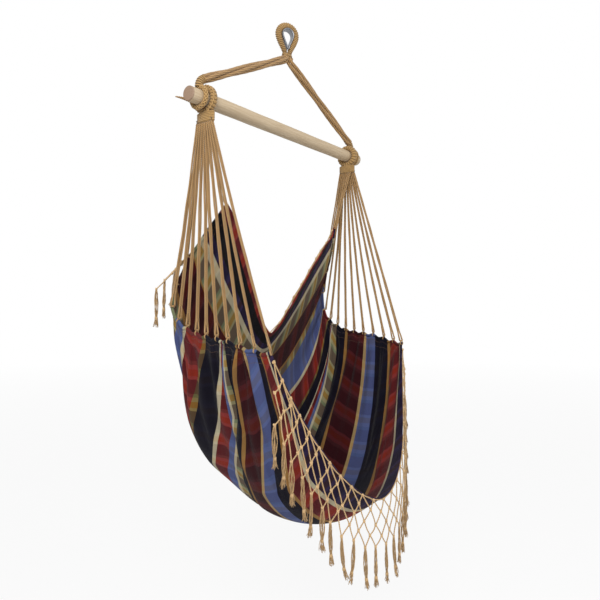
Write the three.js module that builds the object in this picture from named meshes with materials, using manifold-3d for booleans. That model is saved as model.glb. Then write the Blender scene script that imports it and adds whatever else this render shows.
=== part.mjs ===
// Hammock chair with a wooden spreader bar, hung from one rope eye.
// Millimetres, +Z up. The origin is the point inside the eye that rests on the hook.
// The sitter faces -Y, and X runs along the bar.

import * as THREE from 'three';
import { mergeVertices } from 'three/addons/utils/BufferGeometryUtils.js';
import Module from 'manifold-3d';

const wasm = await Module();
wasm.setup();

// Running gap between two pieces that touch.
const seatGap = 0.35;

// Spreader bar.
const barLength = 910;
const barDiameter = 44;
const barEdgeRound = 3;
const hookToBar = 355;

// Rope eye and its steel thimble.
const eyeOpeningWidth = 35;
const eyeOpeningHeight = 66;
const thimbleWall = 2.2;
const thimbleLip = 4.2;
const thimbleWidth = 24;
const eyeRopeDiameter = 25;
const eyeThroatDiameter = 16.4;
const eyeTwist = -28;
const throatHeight = 84;
const throatSeizingHeight = 9;
const throatSeizingWidth = 46;
const throatSeizingDepth = 27;
const eyeRibCount = 24;
const throatRibCount = 3;
const ribDepth = 1.3;

// Shares of the teardrop: where the arc ends, in radians, and how its legs bend.
const arcLeave = 0.24;
const legUpperShare = 0.45;
const legLowerShare = 0.3;
const legFlareShare = 1.02;
const ropeThinPower = 2.2;
const thimblePointShare = 0.03;

// Arms of the harness, four strands each.
const strandDiameter = 10.8;
const strandPitch = 11.6;
const armTurnShare = 0.7;
const armStrandCount = 4;
const armStartReach = 11.8;
const armNeckDrop = 13;
const armEndGap = 1.05;
const armFootShare = 0.3;
const armStepCount = 12;
const armStationShares = [0.12, 0.3, 0.5, 0.7, 0.88];

// Harness rings, one near each end of the bar.
const harnessRingInset = 42;
const harnessRingRadial = 15;
const harnessRingAxial = 14;
const harnessRibCount = 9;
const harnessRibDepth = 0.6;
const harnessNeckDiameter = 25;
const harnessNeckRise = 28;
const harnessNeckRun = 15;
const ringClearance = 0.4;

// Rope tails that leave the harness rings.
const tailLength = 50;
const tailRootDiameter = 13;
const tailTipDiameter = 3.6;
const tailLiftShare = 0.5;
const leftTailLean = [1, -0.2];
const rightTailLean = [0.72, 0.7];
const tailStepCount = 5;

// Seat rings, inboard of the harness rings.
const seatRingSpacing = 28;
const seatRingRadial = 21;
const seatRingAxial = 24;
const seatRibCount = 20;
const seatNeckWidth = 68;
const seatNeckTopWidth = 70;
const seatNeckDepth = 26;
const seatNeckDrop = 68;
const seatNeckRibCount = 4;
const seatNeckSinkShare = 0.62;

// Suspension cords, doubled, from each seat ring to the end hem.
const cordCount = 14;
const innerCordCount = 4;
const cordDiameter = 6;
const cordPairPitch = 6.6;
const cordBightWidth = 12;
const cordBightRise = 36;
const innerRowPitch = 13.6;
const innerRowShift = 4;
const innerRowInset = 7.6;
const outerRowInset = 3.9;
const cordLeanShare = 0.2;

// Seat cloth. Heights are drops below the bar's axis.
const clothHalfSpread = 400;
const clothDrop = 1280;
const clothFrontReach = 360;
const clothThickness = 3;
const pleatDepth = 11;
const foldDepth = 17;
const scallopDepth = 7;
const clothColumnCount = 22;
const hemDiameter = 9;

// Where the pleats, the folds and the scalloped edge begin and fade, as shares of the cloth.
const pleatShares = { rise: 0.12, fade: 0.62, back: 0.4, front: 0.06 };
const foldShares = { window: 0.85, waves: 3.2, lean: 0.55 };
const scallopShares = { edge: 0.1, back: 0.25 };

// Steps in u and v by which slopes of the cloth are measured, and how its points are solved for.
const slopeStep = 0.02;
const normalStep = 0.012;
const solveStep = 0.004;
const solveTurnCount = 12;
const solveReachShare = 0.6;
const solveGuessShare = 0.2;

// Macrame fringes.
const netThickness = 4.6;
const knotRadius = 4.6;
const netStrandLength = 44;
const netRowCount = 4;
const tasselLength = 118;
const tasselWidth = 19;
const tasselDepthShare = 0.8;

// A tassel from its knot down: share of its length, and share of its width there.
const tasselShares = [
  [0.14, 0.62],
  [0.21, 0.36],
  [0.42, 0.84],
  [1, 1],
];
const fringeInset = 12;
const frontNetGap = 0.84;
const backNetGap = 1.19;
const backFringeLift = 22;
const backFringeSideLift = 48;
const backFringeSpreadShare = 0.06;
const backFringeSlopeShare = 0.94;
const backFringeWrapCount = 3;
const backFringeBlendCount = 7;
const backFringeWrapShare = 0.085;
const backFringeHangShares = { aside: 0.45, back: 0.85, down: 0.9 };

const barRadius = barDiameter / 2;
const harnessRingReach = barLength / 2 - harnessRingInset;
const seatRingReach = harnessRingReach - seatRingSpacing;

// An eight-sided tube's flats lie this share of its radius from its middle.
const tubeSides = 8;
const neckSides = 10;
const bindingSides = 12;
const barSides = 28;
const neckStepCount = 8;
const flatShare = Math.cos(Math.PI / tubeSides);
const clothHalf = clothThickness / 2;
const attachmentCount = cordCount - 1;

function steelMaterial() {
  return new THREE.MeshStandardMaterial({ color: 0x8d9093, roughness: 0.38, metalness: 0.9 });
}

function woodMaterial() {
  return new THREE.MeshStandardMaterial({ color: 0xb6a48c, roughness: 0.62, metalness: 0 });
}

function ropeMaterial() {
  return new THREE.MeshStandardMaterial({ color: 0x9a7a4b, roughness: 0.88, metalness: 0 });
}

function cordMaterial() {
  return new THREE.MeshStandardMaterial({ color: 0xb0946a, roughness: 0.9, metalness: 0 });
}

function clothMaterial() {
  return new THREE.MeshStandardMaterial({ color: 0x4a3038, roughness: 0.92, metalness: 0 });
}

function fringeMaterial() {
  return new THREE.MeshStandardMaterial({ color: 0xa98f62, roughness: 0.92, metalness: 0 });
}

function vec(x, y, z) {
  return new THREE.Vector3(x, y, z);
}

// A closed solid from a list of points and a list of triangles.
function solidFrom(points, triangles) {
  const geometry = new THREE.BufferGeometry();
  const positions = points.flatMap((p) => [p.x, p.y, p.z]);
  geometry.setAttribute('position', new THREE.Float32BufferAttribute(positions, 3));
  geometry.setIndex(triangles.flat());
  return geometry;
}

// Joins rings of equal count into a tube. Each ring turns the same way round the path.
function skinRings(rings, closed) {
  const points = rings.flat();
  const count = rings[0].length;
  const triangles = [];
  const last = closed ? rings.length : rings.length - 1;
  for (let r = 0; r < last; r += 1) {
    const here = r * count;
    const next = ((r + 1) % rings.length) * count;
    for (let i = 0; i < count; i += 1) {
      const j = (i + 1) % count;
      triangles.push([here + i, here + j, next + j]);
      triangles.push([here + i, next + j, next + i]);
    }
  }
  if (!closed) {
    const end = (rings.length - 1) * count;
    for (let i = 1; i < count - 1; i += 1) {
      triangles.push([0, i + 1, i]);
      triangles.push([end, end + i, end + i + 1]);
    }
  }
  return solidFrom(points, triangles);
}

// One ring of points round a centre. 'across' and 'along' set its plane.
function ringOf(centre, along, across, halfAcross, halfOther, sides) {
  const other = along.clone().cross(across).normalize();
  const flat = other.clone().cross(along).normalize();
  const ring = [];
  for (let i = 0; i < sides; i += 1) {
    const angle = (2 * Math.PI * (i + 0.5)) / sides;
    const point = centre.clone();
    point.addScaledVector(flat, halfAcross * Math.cos(angle));
    point.addScaledVector(other, halfOther * Math.sin(angle));
    ring.push(point);
  }
  return ring;
}

function directionAt(points, i, closed) {
  const n = points.length;
  const before = closed ? points[(i + n - 1) % n] : points[Math.max(i - 1, 0)];
  const after = closed ? points[(i + 1) % n] : points[Math.min(i + 1, n - 1)];
  return after.clone().sub(before).normalize();
}

function toManifold(geometry) {
  const bare = geometry.clone();
  bare.deleteAttribute('normal');
  bare.deleteAttribute('uv');
  const merged = mergeVertices(bare);
  const mesh = new wasm.Mesh({
    numProp: 3,
    vertProperties: new Float32Array(merged.attributes.position.array),
    triVerts: new Uint32Array(merged.index.array),
  });
  return new wasm.Manifold(mesh);
}

function fromManifold(manifold) {
  const mesh = manifold.getMesh();
  const geometry = new THREE.BufferGeometry();
  geometry.setAttribute('position', new THREE.BufferAttribute(mesh.vertProperties, 3));
  geometry.setIndex(new THREE.BufferAttribute(mesh.triVerts, 1));
  return geometry;
}

const chair = new THREE.Group();

function addPiece(name, geometry, material) {
  const flat = geometry.index ? geometry.toNonIndexed() : geometry;
  flat.computeVertexNormals();
  const mesh = new THREE.Mesh(flat, material);
  mesh.name = name;
  chair.add(mesh);
  return mesh;
}

// Spreader bar, a turned dowel with softened ends.
function spreaderBar() {
  const half = barLength / 2;
  const profile = [
    new THREE.Vector2(0, -half),
    new THREE.Vector2(barRadius - barEdgeRound, -half),
    new THREE.Vector2(barRadius, -half + barEdgeRound),
    new THREE.Vector2(barRadius, half - barEdgeRound),
    new THREE.Vector2(barRadius - barEdgeRound, half),
    new THREE.Vector2(0, half),
  ];
  const geometry = new THREE.LatheGeometry(profile, barSides);
  geometry.rotateZ(-Math.PI / 2);
  geometry.translate(0, 0, -hookToBar);
  return geometry;
}

// Teardrop in the XZ plane: a round top that runs down to a point.
// 'offset' is the distance out from the edge of the opening.
function teardropPoints(offset, arcSteps, legSteps, bottomHalf, bottomDrop) {
  const radius = eyeOpeningWidth / 2 + offset;
  const centre = -eyeOpeningWidth / 2;
  const points = [];
  for (let i = legSteps; i > 0; i -= 1) {
    const t = i / legSteps;
    points.push(teardropLeg(-1, t, radius, centre, bottomHalf, bottomDrop));
  }
  for (let i = 0; i <= arcSteps; i += 1) {
    const angle = Math.PI + arcLeave - ((Math.PI + 2 * arcLeave) * i) / arcSteps;
    points.push(vec(radius * Math.cos(angle), 0, centre + radius * Math.sin(angle)));
  }
  for (let i = 1; i <= legSteps; i += 1) {
    points.push(teardropLeg(1, i / legSteps, radius, centre, bottomHalf, bottomDrop));
  }
  return points;
}

// A leg of the teardrop, from the end of the arc (t = 0) down to its foot (t = 1).
function teardropLeg(side, t, radius, centre, bottomHalf, bottomDrop) {
  const startX = radius * Math.cos(arcLeave);
  const startZ = centre - radius * Math.sin(arcLeave);
  const fall = startZ + bottomDrop;
  const upper = fall * legUpperShare;
  const handle = vec(startX - upper * Math.tan(arcLeave), 0, startZ - upper);
  const foot = vec(bottomHalf, 0, -bottomDrop);
  const lower = vec(bottomHalf * legFlareShare, 0, -bottomDrop + fall * legLowerShare);
  const leg = new THREE.CubicBezierCurve3(vec(startX, 0, startZ), handle, lower, foot);
  const point = leg.getPoint(t);
  return vec(side * point.x, 0, point.z);
}

// Served rope that makes the eye: ribs of twine round a rope that thins to the throat.
function eyeServing() {
  const offset = thimbleWall + seatGap + (eyeRopeDiameter / 2) * flatShare;
  const bottomHalf = eyeThroatDiameter / 2 + seatGap;
  const path = new THREE.CatmullRomCurve3(
    teardropPoints(offset, 14, 6, bottomHalf, throatHeight),
  );
  const stations = path.getSpacedPoints(2 * eyeRibCount);
  const rings = stations.map((centre, i) => {
    const share = i / (stations.length - 1);
    const thin = Math.pow(Math.abs(2 * share - 1), ropeThinPower);
    const rope = THREE.MathUtils.lerp(eyeRopeDiameter, eyeThroatDiameter, thin) / 2;
    const edge = i === 0 || i === stations.length - 1;
    const radius = edge || i % 2 ? rope - ribDepth : rope;
    const along = edge ? vec(0, 0, share > 0.5 ? -1 : 1) : directionAt(stations, i, false);
    return ringOf(centre, along, vec(0, 1, 0), radius, radius, tubeSides);
  });
  return skinRings(rings, false);
}

// Steel thimble: a channel whose two lips hold the rope, bent to the teardrop.
function eyeThimble() {
  const path = teardropPoints(0, 16, 5, eyeOpeningWidth * thimblePointShare, eyeOpeningHeight);
  const half = thimbleWidth / 2;
  const rings = path.map((inner, i) => {
    const along = directionAt(path, i, true);
    const out = along.clone().cross(vec(0, 1, 0)).normalize();
    const section = [
      [0, -half],
      [thimbleLip, -half - thimbleWall / 2],
      [thimbleLip, -half + thimbleWall / 2],
      [thimbleWall, -half + thimbleWall],
      [thimbleWall, half - thimbleWall],
      [thimbleLip, half - thimbleWall / 2],
      [thimbleLip, half + thimbleWall / 2],
      [0, half],
    ];
    return section.map(([outward, sideways]) => {
      const point = inner.clone().addScaledVector(out, outward);
      point.y -= sideways;
      return point;
    });
  });
  return skinRings(rings, true);
}

// Whipping at the eye's throat, where the rope turns into the arm strands.
function throatSeizing() {
  const ribs = throatRibCount;
  const top = -throatHeight - seatGap;
  const rings = [];
  for (let i = 0; i <= 2 * ribs; i += 1) {
    const centre = vec(0, 0, top - (throatSeizingHeight * i) / (2 * ribs));
    const inset = i % 2 ? 0 : ribDepth;
    const halfX = throatSeizingWidth / 2 - inset;
    const halfY = throatSeizingDepth / 2 - inset;
    rings.push(ringOf(centre, vec(0, 0, -1), vec(1, 0, 0), halfX, halfY, bindingSides));
  }
  return skinRings(rings, false);
}

// Centre line of an arm, from under the throat to the neck of its harness ring.
function armAxis(side) {
  const top = -throatHeight - 2 * seatGap - throatSeizingHeight;
  const end = harnessNeckEnd(side);
  const start = vec(side * armStartReach, 0, top);
  const knee = vec(side * (armStartReach + armNeckDrop / 3), 0, top - armNeckDrop);
  const reach = end.clone().sub(knee);
  const points = [start, vec(start.x, 0, top - armNeckDrop * armFootShare), knee];
  armStationShares.forEach((share) => {
    points.push(knee.clone().addScaledVector(reach, share));
  });
  points.push(end);
  return points;
}

function armDirection(side) {
  const rise = hookToBar - throatHeight - throatSeizingHeight - armNeckDrop - harnessNeckRise * 2;
  return vec(-side * (harnessRingReach - armStartReach), 0, rise).normalize();
}

// Middle of the face where an arm's strands meet the neck of the harness ring.
function harnessNeckEnd(side) {
  const top = harnessRingCentreRadius() + harnessNeckRise - hookToBar;
  return vec(side * (harnessRingReach - harnessNeckRun), 0, top);
}

function harnessRingCentreRadius() {
  return barRadius + ringClearance + (harnessRingRadial / 2) * flatShare;
}

// One strand of an arm: it winds slowly round the arm's centre line.
function armStrand(side, number) {
  const axis = armAxis(side);
  const radius = strandPitch / Math.SQRT2;
  const last = axis.length - 1;
  const toward = armDirection(side);
  const points = axis.map((centre, i) => {
    const share = Math.max(i - 1, 0) / (last - 1);
    const turn = 2 * Math.PI * (0.125 + number / armStrandCount + armTurnShare * share);
    let along = directionAt(axis, i, false);
    if (i < 2) along = vec(0, 0, -1);
    if (i === last) along = toward.clone().negate();
    const across = along.clone().cross(vec(0, 1, 0)).normalize();
    const point = centre.clone();
    point.addScaledVector(across, radius * Math.cos(turn));
    point.y += radius * Math.sin(turn);
    if (i === last) point.addScaledVector(toward, armEndGap);
    return point;
  });
  const route = new THREE.CatmullRomCurve3(points);
  const section = new THREE.Shape();
  section.absarc(0, 0, strandDiameter / 2, 0, 2 * Math.PI);
  return new THREE.ExtrudeGeometry(section, { steps: armStepCount, curveSegments: 4, extrudePath: route });
}

// A served rope ring round the bar, in the YZ plane, with ribs of twine.
function servedRing(reach, radial, axial, ribs, depth) {
  const centreRadius = barRadius + ringClearance + (radial / 2) * flatShare;
  const rings = [];
  for (let i = 0; i < 2 * ribs; i += 1) {
    const angle = (Math.PI * i) / ribs;
    const out = vec(0, Math.sin(angle), Math.cos(angle));
    const along = vec(0, Math.cos(angle), -Math.sin(angle));
    const centre = vec(reach, 0, -hookToBar).addScaledVector(out, centreRadius);
    const inset = i % 2 ? depth : 0;
    rings.push(ringOf(centre, along, vec(1, 0, 0), axial / 2 - inset, radial / 2 - inset, tubeSides));
  }
  return skinRings(rings, true);
}

// Harness ring with its neck, which bends from the top of the ring to the arm.
function harnessRing(side) {
  const reach = side * harnessRingReach;
  const ring = servedRing(reach, harnessRingRadial, harnessRingAxial, harnessRibCount, harnessRibDepth);
  const end = harnessNeckEnd(side);
  const foot = vec(reach, 0, harnessRingCentreRadius() - hookToBar);
  const bend = vec(reach, 0, (foot.z + 2 * end.z) / 3);
  const path = new THREE.QuadraticBezierCurve3(foot, bend, end);
  const stations = path.getSpacedPoints(neckStepCount);
  const toward = armDirection(side);
  const rings = stations.map((centre, i) => {
    const inset = i % 2 ? 0 : ribDepth / 2;
    const radius = harnessNeckDiameter / 2 - inset;
    const along = i === stations.length - 1 ? toward : directionAt(stations, i, false);
    return ringOf(centre, along, vec(0, 1, 0), radius, radius, neckSides);
  });
  const neck = toManifold(skinRings(rings, false));
  return fromManifold(toManifold(ring).add(neck));
}

// Loose tapered end of the rope, pointing out past the ring.
function ropeTail(side) {
  const seat = side * (harnessRingReach + (harnessRingAxial / 2) * flatShare + seatGap);
  const radius = harnessRingCentreRadius();
  const [back, up] = side > 0 ? rightTailLean : leftTailLean;
  const lean = vec(0, back, up).normalize();
  const rings = [];
  for (let i = 0; i <= tailStepCount; i += 1) {
    const share = i / tailStepCount;
    const centre = vec(seat + side * tailLength * share, 0, -hookToBar);
    centre.addScaledVector(lean, radius + tailRootDiameter * tailLiftShare * share * share);
    const half = THREE.MathUtils.lerp(tailRootDiameter, tailTipDiameter, share) / 2;
    rings.push(ringOf(centre, vec(side, 0, 0), vec(0, 1, 0), half, half, tubeSides));
  }
  return skinRings(rings, false);
}

// Seat ring with the served neck that gathers the suspension cords.
function seatRing(side) {
  const reach = side * seatRingReach;
  const ring = servedRing(reach, seatRingRadial, seatRingAxial, seatRibCount, ribDepth);
  const top = -hookToBar - barRadius - seatRingRadial * seatNeckSinkShare;
  const bottom = -hookToBar - seatNeckDrop;
  const rings = [];
  for (let i = 0; i <= 2 * seatNeckRibCount; i += 1) {
    const share = i / (2 * seatNeckRibCount);
    const centre = vec(reach, 0, THREE.MathUtils.lerp(top, bottom, share));
    const inset = i % 2 ? 0 : ribDepth;
    const halfY = THREE.MathUtils.lerp(seatNeckTopWidth, seatNeckWidth, share) / 2 - inset;
    const halfX = THREE.MathUtils.lerp(seatRingAxial, seatNeckDepth, share) / 2 - inset;
    rings.push(ringOf(centre, vec(0, 0, -1), vec(0, 1, 0), halfY, halfX, bindingSides));
  }
  const neck = toManifold(skinRings(rings, false));
  return fromManifold(toManifold(ring).add(neck));
}

// Places along the end edge as shares: spread, reach (forward is minus) and drop.
const endShares = [
  [0.725, 0, 0.2305],
  [0.825, -0.111, 0.293],
  [0.9, -0.236, 0.3555],
  [0.95, -0.328, 0.418],
  [0.9925, -0.347, 0.4727],
  [1, -0.272, 0.5063],
  [1, -0.167, 0.525],
  [1, -0.056, 0.5359],
  [1, 0.056, 0.543],
  [1, 0.172, 0.5469],
  [1, 0.292, 0.5516],
  [1, 0.417, 0.5609],
  [0.9825, 0.542, 0.5695],
  [0.9375, 0.667, 0.5742],
];

// The middle of the seat from the back edge to the front edge: reach and drop.
const middleShares = [
  [-0.236, 0.539],
  [-0.458, 0.648],
  [-0.556, 0.766],
  [-0.486, 0.875],
  [-0.236, 0.957],
  [0.167, 1],
  [0.597, 0.984],
  [1, 0.91],
];

// How each stripe rounds off: middle handle, shoulder spread and shoulder drop.
const roundShares = [
  [0.16, 0.54, 0.36],
  [0.36, 0.8, 0.48],
  [0.5, 0.94, 0.6],
  [0.52, 1, 0.63],
  [0.47, 0.98, 0.58],
  [0.48, 0.96, 0.56],
  [0.4, 0.88, 0.38],
];

// Smooth value of a table at v, from 0 at the back to 1 at the front.
function tableAt(table, v) {
  const span = v * (table.length - 1);
  const i = Math.min(Math.floor(span), table.length - 2);
  const w = span - i;
  return table[0].map((_, k) => {
    const b = table[i][k];
    const c = table[i + 1][k];
    const a = i > 0 ? table[i - 1][k] : 2 * b - c;
    const d = i + 2 < table.length ? table[i + 2][k] : 2 * c - b;
    const square = (2 * a - 5 * b + 4 * c - d) * w * w;
    return 0.5 * (2 * b + (c - a) * w + square + (3 * b - a - 3 * c + d) * w * w * w);
  });
}

function endPoint(v) {
  const [spread, reach, drop] = tableAt(endShares, v);
  return vec(spread * clothHalfSpread, -reach * clothFrontReach, -drop * clothDrop - hookToBar);
}

function middlePoint(v) {
  const [reach, drop] = tableAt(middleShares, v);
  return vec(0, -reach * clothFrontReach, -drop * clothDrop - hookToBar);
}

// Half of one stripe as a curve, from the middle of the seat up to its end.
function stripeCurve(v) {
  const end = endPoint(v);
  const middle = middlePoint(v);
  const [handle, shoulderSpread, shoulderDrop] = tableAt(roundShares, v);
  const near = vec(handle * end.x, middle.y, middle.z);
  const shoulder = vec(
    shoulderSpread * end.x,
    THREE.MathUtils.lerp(end.y, middle.y, shoulderDrop),
    THREE.MathUtils.lerp(end.z, middle.z, shoulderDrop),
  );
  return new THREE.CubicBezierCurve3(middle, near, shoulder, end);
}

// A point of the smooth seat. u runs from -1 to 1 across, v from back to front.
const stripeCache = new Map();
function smoothSeat(u, v) {
  const key = v.toFixed(5);
  if (!stripeCache.has(key)) stripeCache.set(key, stripeCurve(v));
  const point = stripeCache.get(key).getPointAt(Math.min(Math.abs(u), 1));
  if (u < 0) point.x = -point.x;
  return point;
}

function seatNormal(u, v) {
  const u0 = Math.max(u - normalStep, -1);
  const u1 = Math.min(u + normalStep, 1);
  const v0 = Math.max(v - normalStep, 0);
  const v1 = Math.min(v + normalStep, 1);
  const across = smoothSeat(u1, v).sub(smoothSeat(u0, v));
  const forward = smoothSeat(u, v1).sub(smoothSeat(u, v0));
  return across.cross(forward).normalize().negate();
}

// Share of the pleats' depth: none at the hem, most just under it, none in the middle.
function pleatShare(u, v) {
  const inward = 1 - Math.abs(u);
  const rise = Math.min(inward / pleatShares.rise, 1);
  const fade = Math.max(1 - inward / pleatShares.fade, 0);
  return rise * fade * Math.min(v / pleatShares.back, 1) * Math.min((1 - v) / pleatShares.front, 1);
}

// The draped seat: pleats that start at the cords, and broad folds in the front corners.
function seatPoint(u, v) {
  const point = smoothSeat(u, v);
  const normal = seatNormal(u, v);
  const pleat = pleatDepth * pleatShare(u, v) * Math.cos(2 * Math.PI * attachmentCount * v);
  const inward = 1 - Math.abs(u);
  const across = Math.sin(Math.PI * Math.min(inward / foldShares.window, 1));
  const window = across * Math.sin(Math.PI * v) ** 2;
  const phase = foldShares.waves * v + foldShares.lean * inward;
  const fold = foldDepth * window * Math.sin(2 * Math.PI * phase);
  point.addScaledVector(normal, pleat + fold);
  const between = Math.sin(Math.PI * attachmentCount * v) ** 2;
  const edge = Math.max(1 - inward / scallopShares.edge, 0);
  point.z -= scallopDepth * between * edge * Math.min(v / scallopShares.back, 1);
  return point;
}

// The seat cloth as a thin closed sheet.
function seatCloth() {
  const rows = 2 * attachmentCount;
  const columns = clothColumnCount;
  const grid = [];
  for (let j = 0; j <= rows; j += 1) {
    const row = [];
    for (let i = 0; i <= columns; i += 1) row.push(seatPoint((2 * i) / columns - 1, j / rows));
    grid.push(row);
  }
  const outer = [];
  const inner = [];
  for (let j = 0; j <= rows; j += 1) {
    for (let i = 0; i <= columns; i += 1) {
      const left = grid[j][Math.max(i - 1, 0)];
      const right = grid[j][Math.min(i + 1, columns)];
      const behind = grid[Math.max(j - 1, 0)][i];
      const ahead = grid[Math.min(j + 1, rows)][i];
      const across = right.clone().sub(left);
      const normal = ahead.clone().sub(behind).cross(across).normalize();
      outer.push(grid[j][i].clone().addScaledVector(normal, clothHalf));
      inner.push(grid[j][i].clone().addScaledVector(normal, -clothHalf));
    }
  }
  const width = columns + 1;
  const under = outer.length;
  const triangles = [];
  for (let j = 0; j < rows; j += 1) {
    for (let i = 0; i < columns; i += 1) {
      const a = j * width + i;
      const b = a + 1;
      const c = a + width + 1;
      const d = a + width;
      triangles.push([a, c, b], [a, d, c]);
      triangles.push([under + a, under + b, under + c], [under + a, under + c, under + d]);
    }
  }
  const wall = (a, b) => triangles.push([a, b, under + b], [a, under + b, under + a]);
  for (let i = 0; i < columns; i += 1) {
    wall(i, i + 1);
    wall(rows * width + i + 1, rows * width + i);
  }
  for (let j = 0; j < rows; j += 1) {
    wall((j + 1) * width, j * width);
    wall(j * width + columns, (j + 1) * width + columns);
  }
  return solidFrom(outer.concat(inner), triangles);
}

// Way out of the cloth at an end edge, square to the edge.
function hemOut(side, v) {
  const inside = seatPoint(side * (1 - 2 / clothColumnCount), v);
  const rows = 2 * attachmentCount;
  const before = seatPoint(side, Math.max(v - 1 / rows, 0));
  const after = seatPoint(side, Math.min(v + 1 / rows, 1));
  const along = after.clone().sub(before).normalize();
  const out = seatPoint(side, v).sub(inside);
  out.addScaledVector(along, -out.dot(along));
  return { along, out: out.normalize() };
}

function hemCentre(side, v) {
  const lift = hemDiameter / 2 + seatGap * 2;
  return seatPoint(side, v).addScaledVector(hemOut(side, v).out, lift);
}

// Rolled hem along one end of the cloth, over the cord sewn into it.
function endHem(side) {
  const rows = 2 * attachmentCount;
  const rings = [];
  for (let j = 0; j <= rows; j += 1) {
    const v = j / rows;
    const { along, out } = hemOut(side, v);
    rings.push(ringOf(hemCentre(side, v), along, out, hemDiameter / 2, hemDiameter / 2, tubeSides));
  }
  return skinRings(rings, false);
}

// Where a doubled cord leaves the neck of its seat ring, and which way its two legs lie.
function cordTop(side, number) {
  const top = vec(side * seatRingReach, 0, -hookToBar - seatNeckDrop - seatGap);
  if (number < innerCordCount) {
    top.x -= side * innerRowInset;
    top.y += innerRowPitch * (number - (innerCordCount - 1) / 2) + innerRowShift;
    return { top, pair: vec(0, 1, 0) };
  }
  const rowCords = cordCount - innerCordCount;
  top.x += side * outerRowInset;
  top.y += cordPairPitch * ((rowCords - 1) / 2 - (number - innerCordCount));
  return { top, pair: vec(1, 0, 0) };
}

// A doubled suspension cord: down one leg, round the bight on the hem, and back up.
function suspensionCord(side, number) {
  const v = number / attachmentCount;
  const { along, out } = hemOut(side, v);
  const hem = hemCentre(side, v);
  const { top, pair } = cordTop(side, number);
  const pull = top.clone().sub(hem).normalize();
  const toward = pull.clone().addScaledVector(along, -pull.dot(along));
  toward.addScaledVector(out, cordLeanShare).normalize();
  const foot = hem.clone();
  foot.addScaledVector(toward, hemDiameter / 2 + seatGap * 2 + cordDiameter / 2);
  const up = top.clone().sub(foot).normalize();
  const spread = along.clone().cross(up).normalize();
  if (spread.dot(pair) < 0) spread.negate();
  const plane = spread.clone().cross(up).normalize();
  const bight = cordBightWidth / 2;
  const turnCentre = foot.clone().addScaledVector(up, bight);
  const pinch = foot.clone().addScaledVector(up, cordBightRise);
  const radius = cordDiameter / 2;
  const rings = [];
  const addRing = (centre, direction, across) => {
    rings.push(ringOf(centre, direction, across, radius, radius, tubeSides));
  };
  const pairPlane = pair.clone().cross(vec(0, 0, 1)).normalize();
  if (pairPlane.dot(plane) < 0) pairPlane.negate();
  const half = cordPairPitch / 2;
  addRing(top.clone().addScaledVector(pair, half), vec(0, 0, -1), pairPlane);
  addRing(pinch.clone().addScaledVector(spread, half), up.clone().negate(), plane);
  const arcSteps = 3;
  for (let i = 0; i <= arcSteps; i += 1) {
    const angle = (Math.PI * i) / arcSteps;
    const centre = turnCentre.clone();
    centre.addScaledVector(spread, bight * Math.cos(angle));
    centre.addScaledVector(up, -bight * Math.sin(angle));
    const direction = spread.clone().multiplyScalar(-Math.sin(angle));
    direction.addScaledVector(up, -Math.cos(angle));
    addRing(centre, direction, plane);
  }
  addRing(pinch.clone().addScaledVector(spread, -half), up, plane);
  addRing(top.clone().addScaledVector(pair, -half), vec(0, 0, 1), pairPlane);
  return skinRings(rings, false);
}

// The u and v of the back's point at a given x and z, closed in on from a first guess.
function backAt(x, z, u, v) {
  const step = solveStep;
  let best = [u, v];
  for (let turn = 0; turn < solveTurnCount; turn += 1) {
    const here = smoothSeat(best[0], best[1]);
    const du = smoothSeat(best[0] - Math.sign(best[0] || 1) * step, best[1]).sub(here);
    const dv = smoothSeat(best[0], best[1] + step).sub(here);
    const missX = x - here.x;
    const missZ = z - here.z;
    const scale = du.x * dv.z - dv.x * du.z;
    const moveU = (missX * dv.z - dv.x * missZ) / scale;
    const moveV = (du.x * missZ - missX * du.z) / scale;
    best[0] -= Math.sign(best[0] || 1) * step * moveU;
    best[1] += step * moveV;
    best = [THREE.MathUtils.clamp(best[0], -1, 1), THREE.MathUtils.clamp(best[1], 0, solveReachShare)];
  }
  return best;
}

// Frame of a knot: across the net, up the net, and out of its face.
function frameFrom(across, up) {
  const right = across.clone().normalize();
  const face = right.clone().cross(up).normalize();
  return { right, up: face.clone().cross(right).normalize(), face };
}

// Place of the front fringe at column k (a half number in odd rows) and depth below its head.
function frontFringePlace(k, row, drop) {
  const u = fringeU(k);
  const v = 1;
  const edge = seatPoint(u, v);
  const ahead = seatPoint(Math.min(u + slopeStep, 1), v).sub(seatPoint(Math.max(u - slopeStep, -1), v));
  const out = edge.clone().sub(seatPoint(u, v - slopeStep));
  if (row === 0) {
    const frame = frameFrom(ahead, out);
    const lift = clothHalf + netThickness / 2 + frontNetGap;
    return { point: edge.addScaledVector(frame.face, lift), frame };
  }
  const level = vec(ahead.x, ahead.y, 0);
  const frame = frameFrom(level, vec(0, 0, 1));
  const point = edge.clone();
  point.addScaledVector(frame.face, clothHalf + 2 * netThickness);
  point.z -= drop;
  return { point, frame };
}

// Where column k of the back fringe starts. Its last columns go round the corner, down the hem.
function backEdgeAt(k) {
  const fromEnd = Math.min(k, clothColumnCount - k);
  const wrapped = Math.max(1 - fromEnd / backFringeWrapCount, 0);
  const across = 1 - (2 * k) / clothColumnCount;
  const straight = 1 - (2 * backFringeWrapCount) / clothColumnCount;
  const reach = 1 - fringeInset / clothHalfSpread;
  const u = THREE.MathUtils.clamp((across * reach) / straight, -reach, reach);
  return [u, backFringeWrapShare * wrapped];
}

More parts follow.
